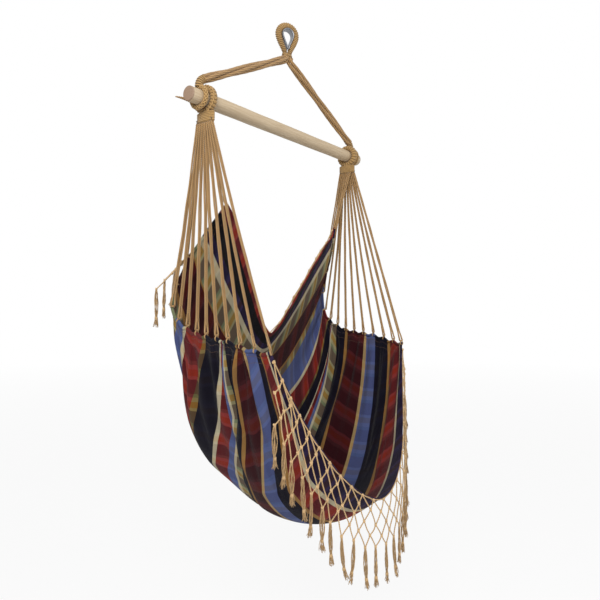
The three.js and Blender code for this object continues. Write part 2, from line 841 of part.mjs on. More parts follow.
// Place of the back fringe: it hangs down over the outside of the back, and free at its ends.
function backFringePlace(k, row, drop) {
  const [edgeU, edgeV] = backEdgeAt(k);
  const edge = smoothSeat(edgeU, edgeV);
  const ends = Math.abs(edgeU) ** 3;
  const share = drop / (netRowCount * netStrandLength);
  const x = edge.x * (1 + backFringeSpreadShare * share);
  const z = edge.z - drop * backFringeSlopeShare;
  const [u, v] = row === 0 ? [edgeU, edgeV] : backAt(x, z, edgeU, edgeV + share * solveGuessShare);
  const ahead = smoothSeat(Math.max(u - slopeStep, -1), v).sub(smoothSeat(Math.min(u + slopeStep, 1), v));
  const slope = smoothSeat(u, v).sub(smoothSeat(u, v + slopeStep));
  const face = ahead.clone().cross(slope).normalize();
  const stand = THREE.MathUtils.lerp(backFringeLift, backFringeSideLift, ends) * Math.sqrt(share);
  const lift = clothHalf + netThickness / 2 + backNetGap + stand;
  const point = smoothSeat(u, v).addScaledVector(face, lift);
  if (row === 0) return { point, frame: frameFrom(ahead, slope) };
  const fromEnd = Math.min(k, clothColumnCount - k);
  const free = THREE.MathUtils.smoothstep(1 - fromEnd / backFringeBlendCount, 0, 1);
  const { aside, back, down } = backFringeHangShares;
  const side = Math.sign(edgeU) || 1;
  const hung = backFringePlace(k, 0, 0).point.add(vec(side * aside, back, -down).multiplyScalar(drop));
  const outward = face.lerp(vec(side * aside, back, 0).normalize(), free).normalize();
  const right = vec(-outward.y, outward.x, 0).normalize();
  const frame = { right, up: outward.clone().cross(right).normalize(), face: outward };
  return { point: point.lerp(hung, free), frame };
}

function fringeU(k) {
  const whole = 1 - fringeInset / clothHalfSpread;
  return whole * ((2 * k) / clothColumnCount - 1);
}

// A fringe as one solid: a knotted diamond net with a tassel on each foot.
function fringe(place) {
  const knots = [];
  const rowStart = [];
  for (let row = 0; row <= netRowCount; row += 1) {
    rowStart.push(knots.length);
    const count = row % 2 ? clothColumnCount : clothColumnCount + 1;
    for (let i = 0; i < count; i += 1) {
      const k = row % 2 ? i + 0.5 : i;
      knots.push({ k, row, ...place(k, row, netDrop(place, k, row)), links: [] });
    }
  }
  const at = (row, i) => knots[rowStart[row] + i];
  const link = (a, b) => {
    if (!a || !b) return;
    a.links.push({ to: b });
    b.links.push({ to: a });
  };
  for (let i = 0; i < clothColumnCount; i += 1) link(at(0, i), at(0, i + 1));
  for (let row = 0; row < netRowCount; row += 1) {
    const even = row % 2 === 0;
    for (let i = 0; i < clothColumnCount; i += 1) {
      if (even) {
        link(at(row, i), at(row + 1, i));
        link(at(row, i + 1), at(row + 1, i));
      } else {
        link(at(row, i), at(row + 1, i));
        link(at(row, i), at(row + 1, i + 1));
      }
    }
  }
  for (let i = 0; i <= clothColumnCount; i += 1) at(netRowCount, i).links.push({ tassel: true });
  return netSolid(knots);
}

// Drop of a row: strands keep their length, so the net is deeper where its columns crowd.
function netDrop(place, k, row) {
  if (row === 0) return 0;
  const low = Math.max(k - 0.5, 0);
  const high = Math.min(k + 0.5, clothColumnCount);
  const a = place(low, 0, 0).point;
  const b = place(high, 0, 0).point;
  const level = Math.hypot(b.x - a.x, b.y - a.y) / (high - low) / 2;
  const height = Math.sqrt(Math.max(netStrandLength ** 2 - level ** 2, (netStrandLength / 3) ** 2));
  return height * row;
}

function angleIn(knot, target) {
  const way = target.clone().sub(knot.point);
  return Math.atan2(way.dot(knot.frame.up), way.dot(knot.frame.right));
}

// Thickens a net of knots and links into one closed solid.
function netSolid(knots) {
  const points = [];
  const triangles = [];
  const quad = (a, b, c, d) => triangles.push([a, b, c], [a, c, d]);
  const addCorner = (knot, angle) => {
    const { right, up, face } = knot.frame;
    const corner = knot.point.clone();
    corner.addScaledVector(right, knotRadius * Math.cos(angle));
    corner.addScaledVector(up, knotRadius * Math.sin(angle));
    points.push(corner.clone().addScaledVector(face, netThickness / 2));
    points.push(corner.clone().addScaledVector(face, -netThickness / 2));
    return points.length - 2;
  };
  knots.forEach((knot) => {
    knot.links.forEach((item) => {
      item.angle = item.tassel ? -Math.PI / 2 : angleIn(knot, item.to.point);
    });
    knot.links.sort((a, b) => a.angle - b.angle);
    const count = knot.links.length;
    const corners = [];
    knot.links.forEach((item, i) => {
      const next = knot.links[(i + 1) % count];
      let gap = next.angle - item.angle;
      if (gap <= 0) gap += 2 * Math.PI;
      const wide = gap > 0.8 * Math.PI;
      const first = addCorner(knot, item.angle + (wide ? Math.PI / 3 : gap / 2));
      const second = wide ? addCorner(knot, next.angle - Math.PI / 3) : first;
      item.leftCorner = first;
      next.rightCorner = second;
      corners.push(first);
      if (wide) {
        corners.push(second);
        quad(first, first + 1, second + 1, second);
      }
    });
    for (let i = 1; i < corners.length - 1; i += 1) {
      triangles.push([corners[0], corners[i], corners[i + 1]]);
      triangles.push([corners[0] + 1, corners[i + 1] + 1, corners[i] + 1]);
    }
  });
  const bridge = (fromLeft, fromRight, toLeft, toRight) => {
    quad(fromLeft, fromRight, toRight, toLeft);
    quad(fromLeft + 1, toLeft + 1, toRight + 1, fromRight + 1);
    quad(fromLeft, toLeft, toLeft + 1, fromLeft + 1);
    quad(fromRight, fromRight + 1, toRight + 1, toRight);
  };
  knots.forEach((knot) => {
    knot.links.forEach((item) => {
      if (item.tassel) {
        addTassel(knot, item, points, triangles, bridge);
        return;
      }
      if (item.done) return;
      const back = item.to.links.find((other) => other.to === knot);
      back.done = true;
      bridge(item.leftCorner, item.rightCorner, back.rightCorner, back.leftCorner);
    });
  });
  return solidFrom(points, triangles);
}

// A tassel: a bound head and a skirt that widens to its cut end.
function addTassel(knot, item, points, triangles, bridge) {
  const { right, up, face } = knot.frame;
  let left = item.leftCorner;
  let last = item.rightCorner;
  tasselShares.forEach(([downShare, widthShare]) => {
    const centre = knot.point.clone().addScaledVector(up, -tasselLength * downShare);
    const half = (tasselWidth * widthShare) / 2;
    const base = points.length;
    [1, -1].forEach((sign) => {
      const corner = centre.clone().addScaledVector(right, sign * half);
      points.push(corner.clone().addScaledVector(face, half * tasselDepthShare));
      points.push(corner.clone().addScaledVector(face, -half * tasselDepthShare));
    });
    bridge(left, last, base, base + 2);
    left = base;
    last = base + 2;
  });
  triangles.push([left, last, last + 1], [left, last + 1, left + 1]);
}

const sides = [['left', -1], ['right', 1]];

const eye = new THREE.Group();
eye.rotation.z = THREE.MathUtils.degToRad(eyeTwist);
chair.add(eye);
eye.add(addPiece('eye_thimble', eyeThimble(), steelMaterial()));
eye.add(addPiece('eye_serving', eyeServing(), ropeMaterial()));
addPiece('throat_seizing', throatSeizing(), ropeMaterial());
addPiece('spreader_bar', spreaderBar(), woodMaterial());
sides.forEach(([name, side]) => {
  for (let i = 0; i < armStrandCount; i += 1) {
    addPiece(`${name}_arm_strand_${i + 1}`, armStrand(side, i), cordMaterial());
  }
  addPiece(`${name}_harness_ring`, harnessRing(side), ropeMaterial());
  addPiece(`${name}_rope_tail`, ropeTail(side), ropeMaterial());
  addPiece(`${name}_seat_ring`, seatRing(side), ropeMaterial());
  for (let i = 0; i < cordCount; i += 1) {
    addPiece(`${name}_seat_cord_${i + 1}`, suspensionCord(side, i), cordMaterial());
  }
  addPiece(`${name}_end_hem`, endHem(side), clothMaterial());
});
addPiece('seat_cloth', seatCloth(), clothMaterial());
addPiece('front_fringe', fringe(frontFringePlace), fringeMaterial());
addPiece('back_fringe', fringe(backFringePlace), fringeMaterial());

export default chair;
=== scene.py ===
# %% [markdown]
# # A hanging hammock chair
# The chair hangs from one hook: a rope eye, two rope arms, a wooden spreader bar, a fan of
# doubled cords on each side, a striped cotton seat and two knotted fringes. The construction
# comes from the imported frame, and this lesson dresses it. Everything is in metres, with the
# origin where the hook bears on the eye and Z up.

import math

import bpy
import numpy as np
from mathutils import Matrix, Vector


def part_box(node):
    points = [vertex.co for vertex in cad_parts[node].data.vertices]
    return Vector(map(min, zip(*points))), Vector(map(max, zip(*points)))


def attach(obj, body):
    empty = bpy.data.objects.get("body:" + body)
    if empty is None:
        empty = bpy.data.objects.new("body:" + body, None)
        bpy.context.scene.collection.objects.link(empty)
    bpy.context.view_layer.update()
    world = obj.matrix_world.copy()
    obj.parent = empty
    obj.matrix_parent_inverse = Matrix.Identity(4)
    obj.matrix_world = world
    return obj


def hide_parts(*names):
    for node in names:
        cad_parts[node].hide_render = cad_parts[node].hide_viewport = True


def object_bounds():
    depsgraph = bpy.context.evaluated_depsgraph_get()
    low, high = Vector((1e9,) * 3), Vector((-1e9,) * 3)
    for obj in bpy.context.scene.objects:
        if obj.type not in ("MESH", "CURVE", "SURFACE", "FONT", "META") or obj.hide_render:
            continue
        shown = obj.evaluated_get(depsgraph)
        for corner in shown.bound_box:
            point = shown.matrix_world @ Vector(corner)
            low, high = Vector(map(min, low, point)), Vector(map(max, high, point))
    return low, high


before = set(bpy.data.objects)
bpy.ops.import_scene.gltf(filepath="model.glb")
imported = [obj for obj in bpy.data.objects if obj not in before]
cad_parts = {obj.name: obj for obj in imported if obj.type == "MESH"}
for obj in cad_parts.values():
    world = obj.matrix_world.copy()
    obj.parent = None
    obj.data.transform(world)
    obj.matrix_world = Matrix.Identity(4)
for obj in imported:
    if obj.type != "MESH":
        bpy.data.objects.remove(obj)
cad_low, cad_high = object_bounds()
chance = np.random.default_rng(7)
print("frame box", [round(x, 4) for x in (*cad_low, *cad_high)])

# %% [markdown]
# ## Camera
# The photo was taken a little below the bar, from the chair's left front, with a short lens
# about two metres away. The camera could be placed by eye, but the bar's two ends and the hook
# fix it, so its place, heading and pitch are the solved ones.

# %% Camera
CAMERA_PLACE = Vector((-1.6117, -1.2570, -0.9883))
CAMERA_HEADING = math.radians(36.7)
CAMERA_PITCH = math.radians(1.623)
CAMERA_LENS = 36
CAMERA_SENSOR = 36


def link_object(name, data):
    made = bpy.data.objects.new(name, data)
    bpy.context.scene.collection.objects.link(made)
    return made


def photo_camera():
    data = bpy.data.cameras.new("photo_camera")
    data.lens = CAMERA_LENS
    data.sensor_width = CAMERA_SENSOR
    camera = link_object("photo_camera", data)
    level = math.cos(CAMERA_PITCH)
    forward = Vector((
        math.cos(CAMERA_HEADING) * level,
        math.sin(CAMERA_HEADING) * level,
        math.sin(CAMERA_PITCH),
    ))
    camera.location = CAMERA_PLACE
    camera.rotation_euler = forward.to_track_quat("-Z", "Y").to_euler()
    bpy.context.scene.camera = camera
    return camera


camera = photo_camera()
print("camera at", [round(x, 3) for x in camera.location])

# %% [markdown]
# ## Node helpers
# Each finish is a small node tree. A few helpers keep them short: one adds a node and wires or
# sets its inputs, one starts a material with its Principled shader, and the rest are the few
# steps that every finish takes, such as noise, a sum or a bump.

# %% Node helpers
def add_node(tree, kind, values=None, **settings):
    """Adds a node. A value that is another node's output is linked, and any other value is set."""
    made = tree.nodes.new("ShaderNode" + kind)
    for name, value in settings.items():
        setattr(made, name, value)
    for name, value in (values or {}).items():
        if isinstance(value, bpy.types.NodeSocket):
            tree.links.new(value, made.inputs[name])
        else:
            made.inputs[name].default_value = value
    return made


def colour(red, green, blue):
    """A screen colour from 0 to 255 as the linear colour that shaders use."""
    shares = [x / 255 for x in (red, green, blue)]
    linear = [x / 12.92 if x <= 0.04045 else ((x + 0.055) / 1.055) ** 2.4 for x in shares]
    return (*linear, 1.0)


def start_material(name, roughness, sheen=0.0, metallic=0.0, specular=0.3):
    material = bpy.data.materials.new(name)
    material.use_nodes = True
    shader = material.node_tree.nodes["Principled BSDF"]
    shader.inputs["Roughness"].default_value = roughness
    shader.inputs["Metallic"].default_value = metallic
    shader.inputs["Specular IOR Level"].default_value = specular
    shader.inputs["Sheen Weight"].default_value = sheen
    shader.inputs["Sheen Roughness"].default_value = 0.5
    return material, material.node_tree, shader


def mix_colours(tree, factor, first, second, blend="MIX"):
    """The colour output of a Mix node between two colours or colour outputs."""
    values = {0: factor, 6: first, 7: second}
    made = add_node(tree, "Mix", values, data_type="RGBA", blend_type=blend, clamp_factor=True)
    return made.outputs[2]


def math_node(tree, operation, first, second=0.0):
    return add_node(tree, "Math", {0: first, 1: second}, operation=operation).outputs[0]


def scaled(tree, value, times, plus=0.0):
    """value * times + plus. Each may be a number or another node's output."""
    return math_node(tree, "ADD", math_node(tree, "MULTIPLY", value, times), plus)


def object_place(tree):
    return add_node(tree, "TexCoord").outputs["Object"]


def uv_parts(tree, layer):
    """The UV of a layer, and its two numbers by themselves."""
    uv = add_node(tree, "UVMap", uv_map=layer).outputs["UV"]
    parts = add_node(tree, "SeparateXYZ", {"Vector": uv})
    return uv, parts.outputs["X"], parts.outputs["Y"]


def noise(tree, where, scale, detail=3.0, roughness=0.5, stretch=None):
    """Noise from 0 to 1. stretch holds how much finer it is along each axis."""
    if stretch:
        where = add_node(tree, "Mapping", {"Vector": where, "Scale": stretch}).outputs["Vector"]
    values = {"Vector": where, "Scale": scale, "Detail": detail, "Roughness": roughness}
    return add_node(tree, "TexNoise", values).outputs["Fac"]


def bump(tree, height, distance, strength=1.0, below=None):
    values = {"Height": height, "Distance": distance, "Strength": strength}
    if below is not None:
        values["Normal"] = below
    return add_node(tree, "Bump", values).outputs["Normal"]


# %% [markdown]
# ## Cotton cord finish
# The arms, cords and nets are unbleached cotton that has gone tan, with a fine fuzz of fibres. The
# colour is light on the crown of each ply and darker in the grooves, which is painted shade, and
# random patches are mixed part way to that dark as grime. The plies themselves are real shapes,
# and each mesh keeps how far up the crown a point is in its UV's x, and the length along the
# cord in its y. So the shader can paint shade in the grooves without guessing where they are.

# %% Cotton cord finish
COTTON_FIBRE = 0.0011
COTTON_PATCH = 0.05
COTTON_FUZZ = 0.0006


def cotton_material(name, crown, groove):
    material, tree, shader = start_material(name, roughness=0.9, sheen=0.25, specular=0.15)
    place = object_place(tree)
    _, crest, _ = uv_parts(tree, "lay")
    fibres = noise(tree, place, 1 / COTTON_FIBRE, detail=4.0, roughness=0.65)
    patches = noise(tree, place, 1 / COTTON_PATCH, detail=2.0)
    # The groove colour is painted shade where the crest is low, and random grime patches are mixed part
    # way towards it.
    lit = math_node(tree, "MULTIPLY", crest, scaled(tree, fibres, 0.9, 0.55))
    base = mix_colours(tree, lit, groove, crown)
    grimy = mix_colours(tree, 0.45, base, groove)
    worn = mix_colours(tree, scaled(tree, patches, 1.3, -0.52), base, grimy)
    tree.links.new(worn, shader.inputs["Base Color"])
    tree.links.new(bump(tree, fibres, COTTON_FUZZ, 0.7), shader.inputs["Normal"])
    return material


# Each groove colour below is painted shade for the grooves, and random grime patches mix part way towards
# it.
CORD_CROWN = colour(192, 154, 104)
CORD_GROOVE_SHADE_AND_GRIME = colour(92, 64, 35)
TWINE_CROWN = colour(182, 146, 94)
TWINE_GROOVE_SHADE_AND_GRIME = colour(58, 38, 18)
FRINGE_CROWN = colour(216, 182, 134)
FRINGE_GROOVE_SHADE_AND_GRIME = colour(158, 124, 82)
THREAD_CROWN = colour(92, 66, 48)
THREAD_GROOVE_SHADE_AND_GRIME = colour(54, 38, 28)

cord_cotton = cotton_material("cord_cotton", CORD_CROWN, CORD_GROOVE_SHADE_AND_GRIME)
twine_cotton = cotton_material("twine_cotton", TWINE_CROWN, TWINE_GROOVE_SHADE_AND_GRIME)
fringe_cotton = cotton_material("fringe_cotton", FRINGE_CROWN, FRINGE_GROOVE_SHADE_AND_GRIME)
hem_thread = cotton_material("hem_thread", THREAD_CROWN, THREAD_GROOVE_SHADE_AND_GRIME)
print("cotton finishes:", [m.name for m in (cord_cotton, twine_cotton, fringe_cotton, hem_thread)])

# %% [markdown]
# ## Wood finish
# The bar is a plain pale dowel, without varnish. Its grain runs along X, so the noise is
# stretched that way, and the sawn ends are darker because end grain drinks dirt.

# %% Wood finish
WOOD_LIGHT = colour(206, 188, 160)
WOOD_DARK = colour(166, 142, 110)
WOOD_END = colour(130, 100, 84)
GRAIN_STRETCH = (3, 60, 60)
PORE_STRETCH = (8, 420, 420)
PORE_DEPTH = 0.0005


def wood_material():
    material, tree, shader = start_material("bar_wood", roughness=0.6, specular=0.35)
    place = object_place(tree)
    grain = noise(tree, place, 4.0, detail=6.0, roughness=0.6, stretch=GRAIN_STRETCH)
    pores = noise(tree, place, 3.0, stretch=PORE_STRETCH)
    tone = scaled(tree, grain, 1.5, scaled(tree, pores, 0.5, -0.55))
    wood = mix_colours(tree, tone, WOOD_LIGHT, WOOD_DARK)
    _, barrel, _ = uv_parts(tree, "lay")
    face = mix_colours(tree, barrel, mix_colours(tree, 0.25, WOOD_END, wood), wood)
    tree.links.new(face, shader.inputs["Base Color"])
    tree.links.new(bump(tree, pores, PORE_DEPTH, 0.5), shader.inputs["Normal"])
    tree.links.new(scaled(tree, grain, 0.25, 0.5), shader.inputs["Roughness"])
    return material


bar_wood = wood_material()
print("wood grain is", GRAIN_STRETCH[1] // GRAIN_STRETCH[0], "times finer across the bar than along it")

# %% [markdown]
# ## Steel finish
# The thimble is stamped from galvanised sheet, which the hook rubs brighter where it rides. The
# finish gives only a dull grey with cloudy spangle. Noise in the roughness gives the clouds.

# %% Steel finish
STEEL_LIGHT = colour(164, 166, 170)
STEEL_DARK = colour(92, 95, 100)
SCRATCH_STRETCH = (700, 90, 700)
SCRATCH_DEPTH = 0.00008
STEEL_ROUGHNESS = 0.22
STEEL_CLOUDING = 0.35


def steel_material():
    material, tree, shader = start_material("thimble_steel", roughness=0.35, metallic=1.0, specular=0.5)
    place = object_place(tree)
    clouds = noise(tree, place, 90.0, detail=4.0)
    scratches = noise(tree, place, 1.0, detail=2.0, stretch=SCRATCH_STRETCH)
    tree.links.new(mix_colours(tree, clouds, STEEL_DARK, STEEL_LIGHT), shader.inputs["Base Color"])
    clouded = scaled(tree, clouds, STEEL_CLOUDING, STEEL_ROUGHNESS)
    tree.links.new(clouded, shader.inputs["Roughness"])
    tree.links.new(bump(tree, scratches, SCRATCH_DEPTH, 0.3), shader.inputs["Normal"])
    return material


thimble_steel = steel_material()
print("steel roughness from", STEEL_ROUGHNESS, "to", round(STEEL_ROUGHNESS + STEEL_CLOUDING, 2))

# %% [markdown]
# ## Mesh helpers
# Ropes, rings and strands are all sections swept along a path. A curve object with a bevel
# could make them, but a mesh lets the section turn as it goes, so a laid rope has real plies.
# The side direction is carried along the path without spinning, and the turn is added to it.

# %% Mesh helpers
def unit(vectors):
    vectors = np.asarray(vectors, float)
    return vectors / np.maximum(np.linalg.norm(vectors, axis=-1, keepdims=True), 1e-12)


def round_angles(count):
    """The angles of this many even places round a circle."""
    return np.arange(count) * 2 * math.pi / count


def carried_sides(path, closed):
    """Direction along the path at each point, and two directions square to it that don't spin."""
    if closed:
        along = unit(np.roll(path, -1, 0) - np.roll(path, 1, 0))
    else:
        along = unit(np.gradient(path, axis=0))
    side = np.zeros_like(path)
    start = np.array([0.0, 1.0, 0.0]) if abs(along[0][1]) < 0.9 else np.array([1.0, 0.0, 0.0])
    side[0] = unit(np.cross(along[0], start))
    for i in range(1, len(path)):
        side[i] = unit(side[i - 1] - np.dot(side[i - 1], along[i]) * along[i])
    return along, side, np.cross(along, side)


def lengths_along(path):
    return np.concatenate([[0.0], np.cumsum(np.linalg.norm(np.diff(path, axis=0), axis=1))])


def even_spaced(path, count):
    """This many points at an even spacing along the path."""
    travelled = lengths_along(path)
    places = np.linspace(0, travelled[-1], count)
    return np.stack([np.interp(places, travelled, path[:, k]) for k in range(3)], -1)


def skin(points, crest, travelled, closed):
    """Joins rings of points, shape (rings, sides, 3), into one tube with its ends closed."""
    rings, sides = points.shape[:2]
    index = np.arange(rings * sides).reshape(rings, sides)
    ahead = np.roll(index, -1, 0) if closed else index[1:]
    here = index if closed else index[:-1]
    quads = np.stack([here, np.roll(here, -1, 1), np.roll(ahead, -1, 1), ahead], -1).reshape(-1, 4)
    caps = [] if closed else [index[0][::-1].tolist(), index[-1].tolist()]
    shape = (rings, sides)
    uvs = np.stack([np.broadcast_to(crest, shape), np.broadcast_to(travelled[:, None], shape)], -1)
    return {"points": points.reshape(-1, 3), "faces": quads.tolist() + caps, "uvs": uvs.reshape(-1, 2)}


def sweep(path, radius, sides, closed=False, relief=None, twist=None):
    """A tube along the path. radius is one number, or one for each point. relief is the share of
    the radius at each point and side, and twist the turn of the section at each point."""
    path = np.asarray(path, float)
    along, side, other = carried_sides(path, closed)
    turned = round_angles(sides) + (np.zeros(len(path)) if twist is None else twist)[:, None]
    shares = np.ones((len(path), sides)) if relief is None else relief
    reach = np.broadcast_to(np.asarray(radius, float).reshape(-1, 1), (len(path), sides)) * shares
    points = (
        path[:, None]
        + (reach * np.cos(turned))[..., None] * side[:, None]
        + (reach * np.sin(turned))[..., None] * other[:, None]
    )
    # The crest, 0 where the relief is lowest and 1 where it is highest, goes in the UV's x, and the cotton
    # finish paints shade where it is low.
    low, high = shares.min(), shares.max()
    crest = (shares - low) / (high - low) if high > low else shares
    return skin(points, crest, lengths_along(path), closed)


def laid_rope(path, radius, lay, plies=3, sides=12, groove=0.2, start=0.0):
    """A rope of plies that wind round its middle once in each lay length."""
    # The grooves between plies are real shapes, and the cotton finish also paints shade into them.
    lobes = 1 - groove * (1 - np.abs(np.cos(plies * round_angles(sides) / 2)))
    twist = start + 2 * math.pi * lengths_along(path) / lay
    return sweep(path, radius, sides, relief=np.tile(lobes, (len(path), 1)), twist=twist)


def catmull_rom(a, b, c, d, w):
    """The smooth curve from b to c at share w, with a before it and d after it."""
    return 0.5 * (2 * b + (c - a) * w + (2 * a - 5 * b + 4 * c - d) * w**2
                  + (3 * b - a - 3 * c + d) * w**3)


def bezier(corners, w):
    a, b, c, d = (np.asarray(corner, float) for corner in corners)
    return a * (1 - w) ** 3 + 3 * b * w * (1 - w) ** 2 + 3 * c * w**2 * (1 - w) + d * w**3


def smooth_path(points, spacing):
    """A smooth curve through the points, resampled at an even spacing."""
    points = np.asarray(points, float)
    ends = (2 * points[0] - points[1], 2 * points[-1] - points[-2])
    beyond = np.vstack([ends[0], points, ends[1]])
    w = np.linspace(0, 1, 16, endpoint=False)[:, None]
    spans = [catmull_rom(*beyond[i:i + 4], w) for i in range(len(points) - 1)]
    fine = np.vstack(spans + [points[-1:]])
    return even_spaced(fine, max(int(round(lengths_along(fine)[-1] / spacing)), 2) + 1)


def finish_mesh(mesh, layer_name, uvs, material):
    """Gives a mesh its UVs, one for each point, smooth faces and a material."""
    corners = np.zeros(len(mesh.loops), np.int32)
    mesh.loops.foreach_get("vertex_index", corners)
    layer = mesh.uv_layers.new(name=layer_name)
    layer.data.foreach_set("uv", uvs[corners].astype(np.float32).ravel())
    mesh.polygons.foreach_set("use_smooth", [True] * len(mesh.polygons))
    mesh.materials.append(material)
    mesh.update()


def add_piece(name, shapes, material, body, replaces=(), layer_name="lay"):
    """Makes one object of the shapes, hangs it on its body, and hides the frame parts that it replaces."""
    points, faces, uvs, start = [], [], [], 0
    for shape in shapes:
        points.append(shape["points"])
        uvs.append(shape["uvs"])
        faces.extend([[start + i for i in face] for face in shape["faces"]])
        start += len(shape["points"])
    mesh = bpy.data.meshes.new(name)
    mesh.from_pydata(np.vstack(points).tolist(), [], faces)
    finish_mesh(mesh, layer_name, np.vstack(uvs), material)
    made = link_object(name, mesh)
    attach(made, body)
    if replaces:
        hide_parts(*replaces)
    return made


# %% [markdown]
# ## Spreader bar
# A turned dowel whose ends are eased with a file. The frame gives its length, radius and
# height. A cylinder with a bevel would do, but turning a profile gives the worn, not quite even
# surface of a real stick, and lets the end grain have its own colour.

# %% Spreader bar
bar_low, bar_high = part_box("spreader_bar")
BAR_RADIUS = (bar_high.z - bar_low.z) / 2
BAR_HALF = bar_high.x
BAR_Z = (bar_high.z + bar_low.z) / 2
BAR_EDGE = 0.003
BAR_SIDES = 56
BAR_RINGS = 60
BAR_WAVER = 0.0003


def spreader_bar():
    ease = np.linspace(0, math.pi / 2, 6)
    end_x = BAR_HALF - BAR_EDGE * (1 - np.sin(ease[::-1]))
    end_radius = BAR_RADIUS - BAR_EDGE * (1 - np.cos(ease[::-1]))
    middle = np.linspace(-1, 1, BAR_RINGS) * (BAR_HALF - 2 * BAR_EDGE)
    x = np.concatenate([-end_x, middle, end_x[::-1]])
    radius = np.concatenate([end_radius, np.full(BAR_RINGS, BAR_RADIUS), end_radius[::-1]])
    rims = [1e-4, 0.5 * BAR_RADIUS]
    x = np.concatenate([[-BAR_HALF] * 2, x, [BAR_HALF] * 2])
    radius = np.concatenate([rims, radius, rims[::-1]])
    angles = round_angles(BAR_SIDES)
    slow = np.sin(9 * x)[:, None] * np.cos(2 * angles)
    quick = np.sin(31 * x)[:, None] * np.cos(3 * angles)
    reach = radius[:, None] - BAR_WAVER * np.abs(slow + quick) * (radius[:, None] > 0.8 * BAR_RADIUS)
    points = np.stack([
        np.broadcast_to(x[:, None], reach.shape),
        reach * np.cos(angles),
        BAR_Z + reach * np.sin(angles),
    ], -1)
    crest = (np.abs(x) < BAR_HALF - BAR_EDGE)[:, None] * np.ones(BAR_SIDES)
    return skin(points, crest, x + BAR_HALF, closed=False)


add_piece("dowel_bar", [spreader_bar()], bar_wood, "bar", ["spreader_bar"])
print("bar", round(2 * BAR_HALF, 3), "m long,", round(2 * BAR_RADIUS * 1000, 1), "mm thick")

# %% [markdown]
# ## The eye
# The rope is bent round a steel thimble into a teardrop, served with twine so that the hook
# can't chafe it, and seized at the throat. The thimble is a channel swept along the teardrop,
# and the serving is a tube whose radius rises and falls once for each turn of twine, with the
# ribs slanted because twine winds as a helix.

# %% Teardrop
EYE_WIDTH = 0.035
EYE_HEIGHT = 0.066
EYE_TWIST = math.radians(-28)
EYE_LEAVE = 0.24
EYE_HANDLE = 0.45
EYE_FOOT = 0.3
THIMBLE_WALL = 0.0022
THIMBLE_LIP = 0.0042
THIMBLE_WIDTH = 0.024
EYE_ROPE = 0.025
THROAT_ROPE = 0.0164
THROAT_DROP = 0.084
SEAT_GAP = 0.00035


def teardrop(offset, bottom_half, bottom_drop):
    """The teardrop in the XZ plane, offset out from the opening, from the left foot over the top."""
    radius = EYE_WIDTH / 2 + offset
    centre = -EYE_WIDTH / 2
    start_x = radius * math.cos(EYE_LEAVE)
    start_z = centre - radius * math.sin(EYE_LEAVE)
    fall = start_z + bottom_drop
    corners = [
        (start_x, 0, start_z),
        (start_x - fall * math.tan(EYE_LEAVE) * EYE_HANDLE, 0, start_z - fall * EYE_HANDLE),
        (bottom_half, 0, -bottom_drop + fall * EYE_FOOT),
        (bottom_half, 0, -bottom_drop),
    ]
    leg = bezier(corners, np.linspace(0, 1, 40)[:, None])
    angles = np.linspace(math.pi + EYE_LEAVE, -EYE_LEAVE, 80)
    arc = np.stack([radius * np.cos(angles), 0 * angles, centre + radius * np.sin(angles)], -1)
    mirrored = leg[::-1] * (-1, 1, 1)
    return np.vstack([mirrored[:-1], arc, leg[1:]])


def turn_shape(shape, angle):
    """Turns a shape about the Z axis through the origin."""
    c, s = math.cos(angle), math.sin(angle)
    x, y, z = shape["points"].T
    return {**shape, "points": np.stack([c * x - s * y, s * x + c * y, z], -1)}


# %% Thimble and serving
SERVING_TURN = 0.0060
SERVING_DEPTH = 0.0024
THIMBLE_DISH = 0.0003
THIMBLE_RINGS = 96
SERVING_RINGS = 440


def thimble():
    path = even_spaced(teardrop(0, EYE_WIDTH * 0.03, EYE_HEIGHT), THIMBLE_RINGS)[:-1]
    along = unit(np.roll(path, -1, 0) - np.roll(path, 1, 0))
    out = unit(np.cross(along, [0, 1, 0]))
    half = THIMBLE_WIDTH / 2
    lip = np.linspace(-math.pi / 2, math.pi / 2, 5)
    rim = THIMBLE_WALL / 2
    inner = [(THIMBLE_LIP + rim * math.cos(a) - rim, -half + rim * math.sin(a)) for a in lip]
    brim = half + rim * 0.4
    section = [(THIMBLE_DISH, -brim), (0, -half * 0.9), (0, 0), (0, half * 0.9), (THIMBLE_DISH, brim)]
    section += [(reach, -sideways) for reach, sideways in inner]
    section += [(THIMBLE_WALL, half * 0.82), (THIMBLE_WALL * 0.9, 0), (THIMBLE_WALL, -half * 0.82)]
    section += [(reach, sideways) for reach, sideways in inner[::-1]]
    rings = [path + out * reach + np.array([0, sideways, 0]) for reach, sideways in section]
    points = np.stack(rings, 1)
    return skin(points, np.ones(points.shape[:2]), lengths_along(path), closed=True)


def served(path, radius, sides, turn=SERVING_TURN, depth=SERVING_DEPTH):
    """A rope wound with twine: one slanted rib for each turn."""
    phase = lengths_along(path)[:, None] / turn + round_angles(sides) / (2 * math.pi)
    rib = np.abs(np.sin(math.pi * phase)) ** 1.3
    base = np.broadcast_to(np.asarray(radius, float).reshape(-1, 1), rib.shape)
    # The gaps between ribs are real shapes, and the cotton finish also paints shade into them.
    return sweep(path, radius, sides, relief=1 - depth * (1 - rib) / base)


def eye_serving():
    offset = THIMBLE_WALL + SEAT_GAP + EYE_ROPE / 2 * math.cos(math.pi / 8)
    path = even_spaced(teardrop(offset, THROAT_ROPE / 2 + SEAT_GAP, THROAT_DROP), SERVING_RINGS)
    share = np.linspace(0, 1, len(path))
    thin = np.abs(2 * share - 1) ** 2.2
    radius = (EYE_ROPE + (THROAT_ROPE - EYE_ROPE) * thin) / 2
    return served(path, radius, 20)


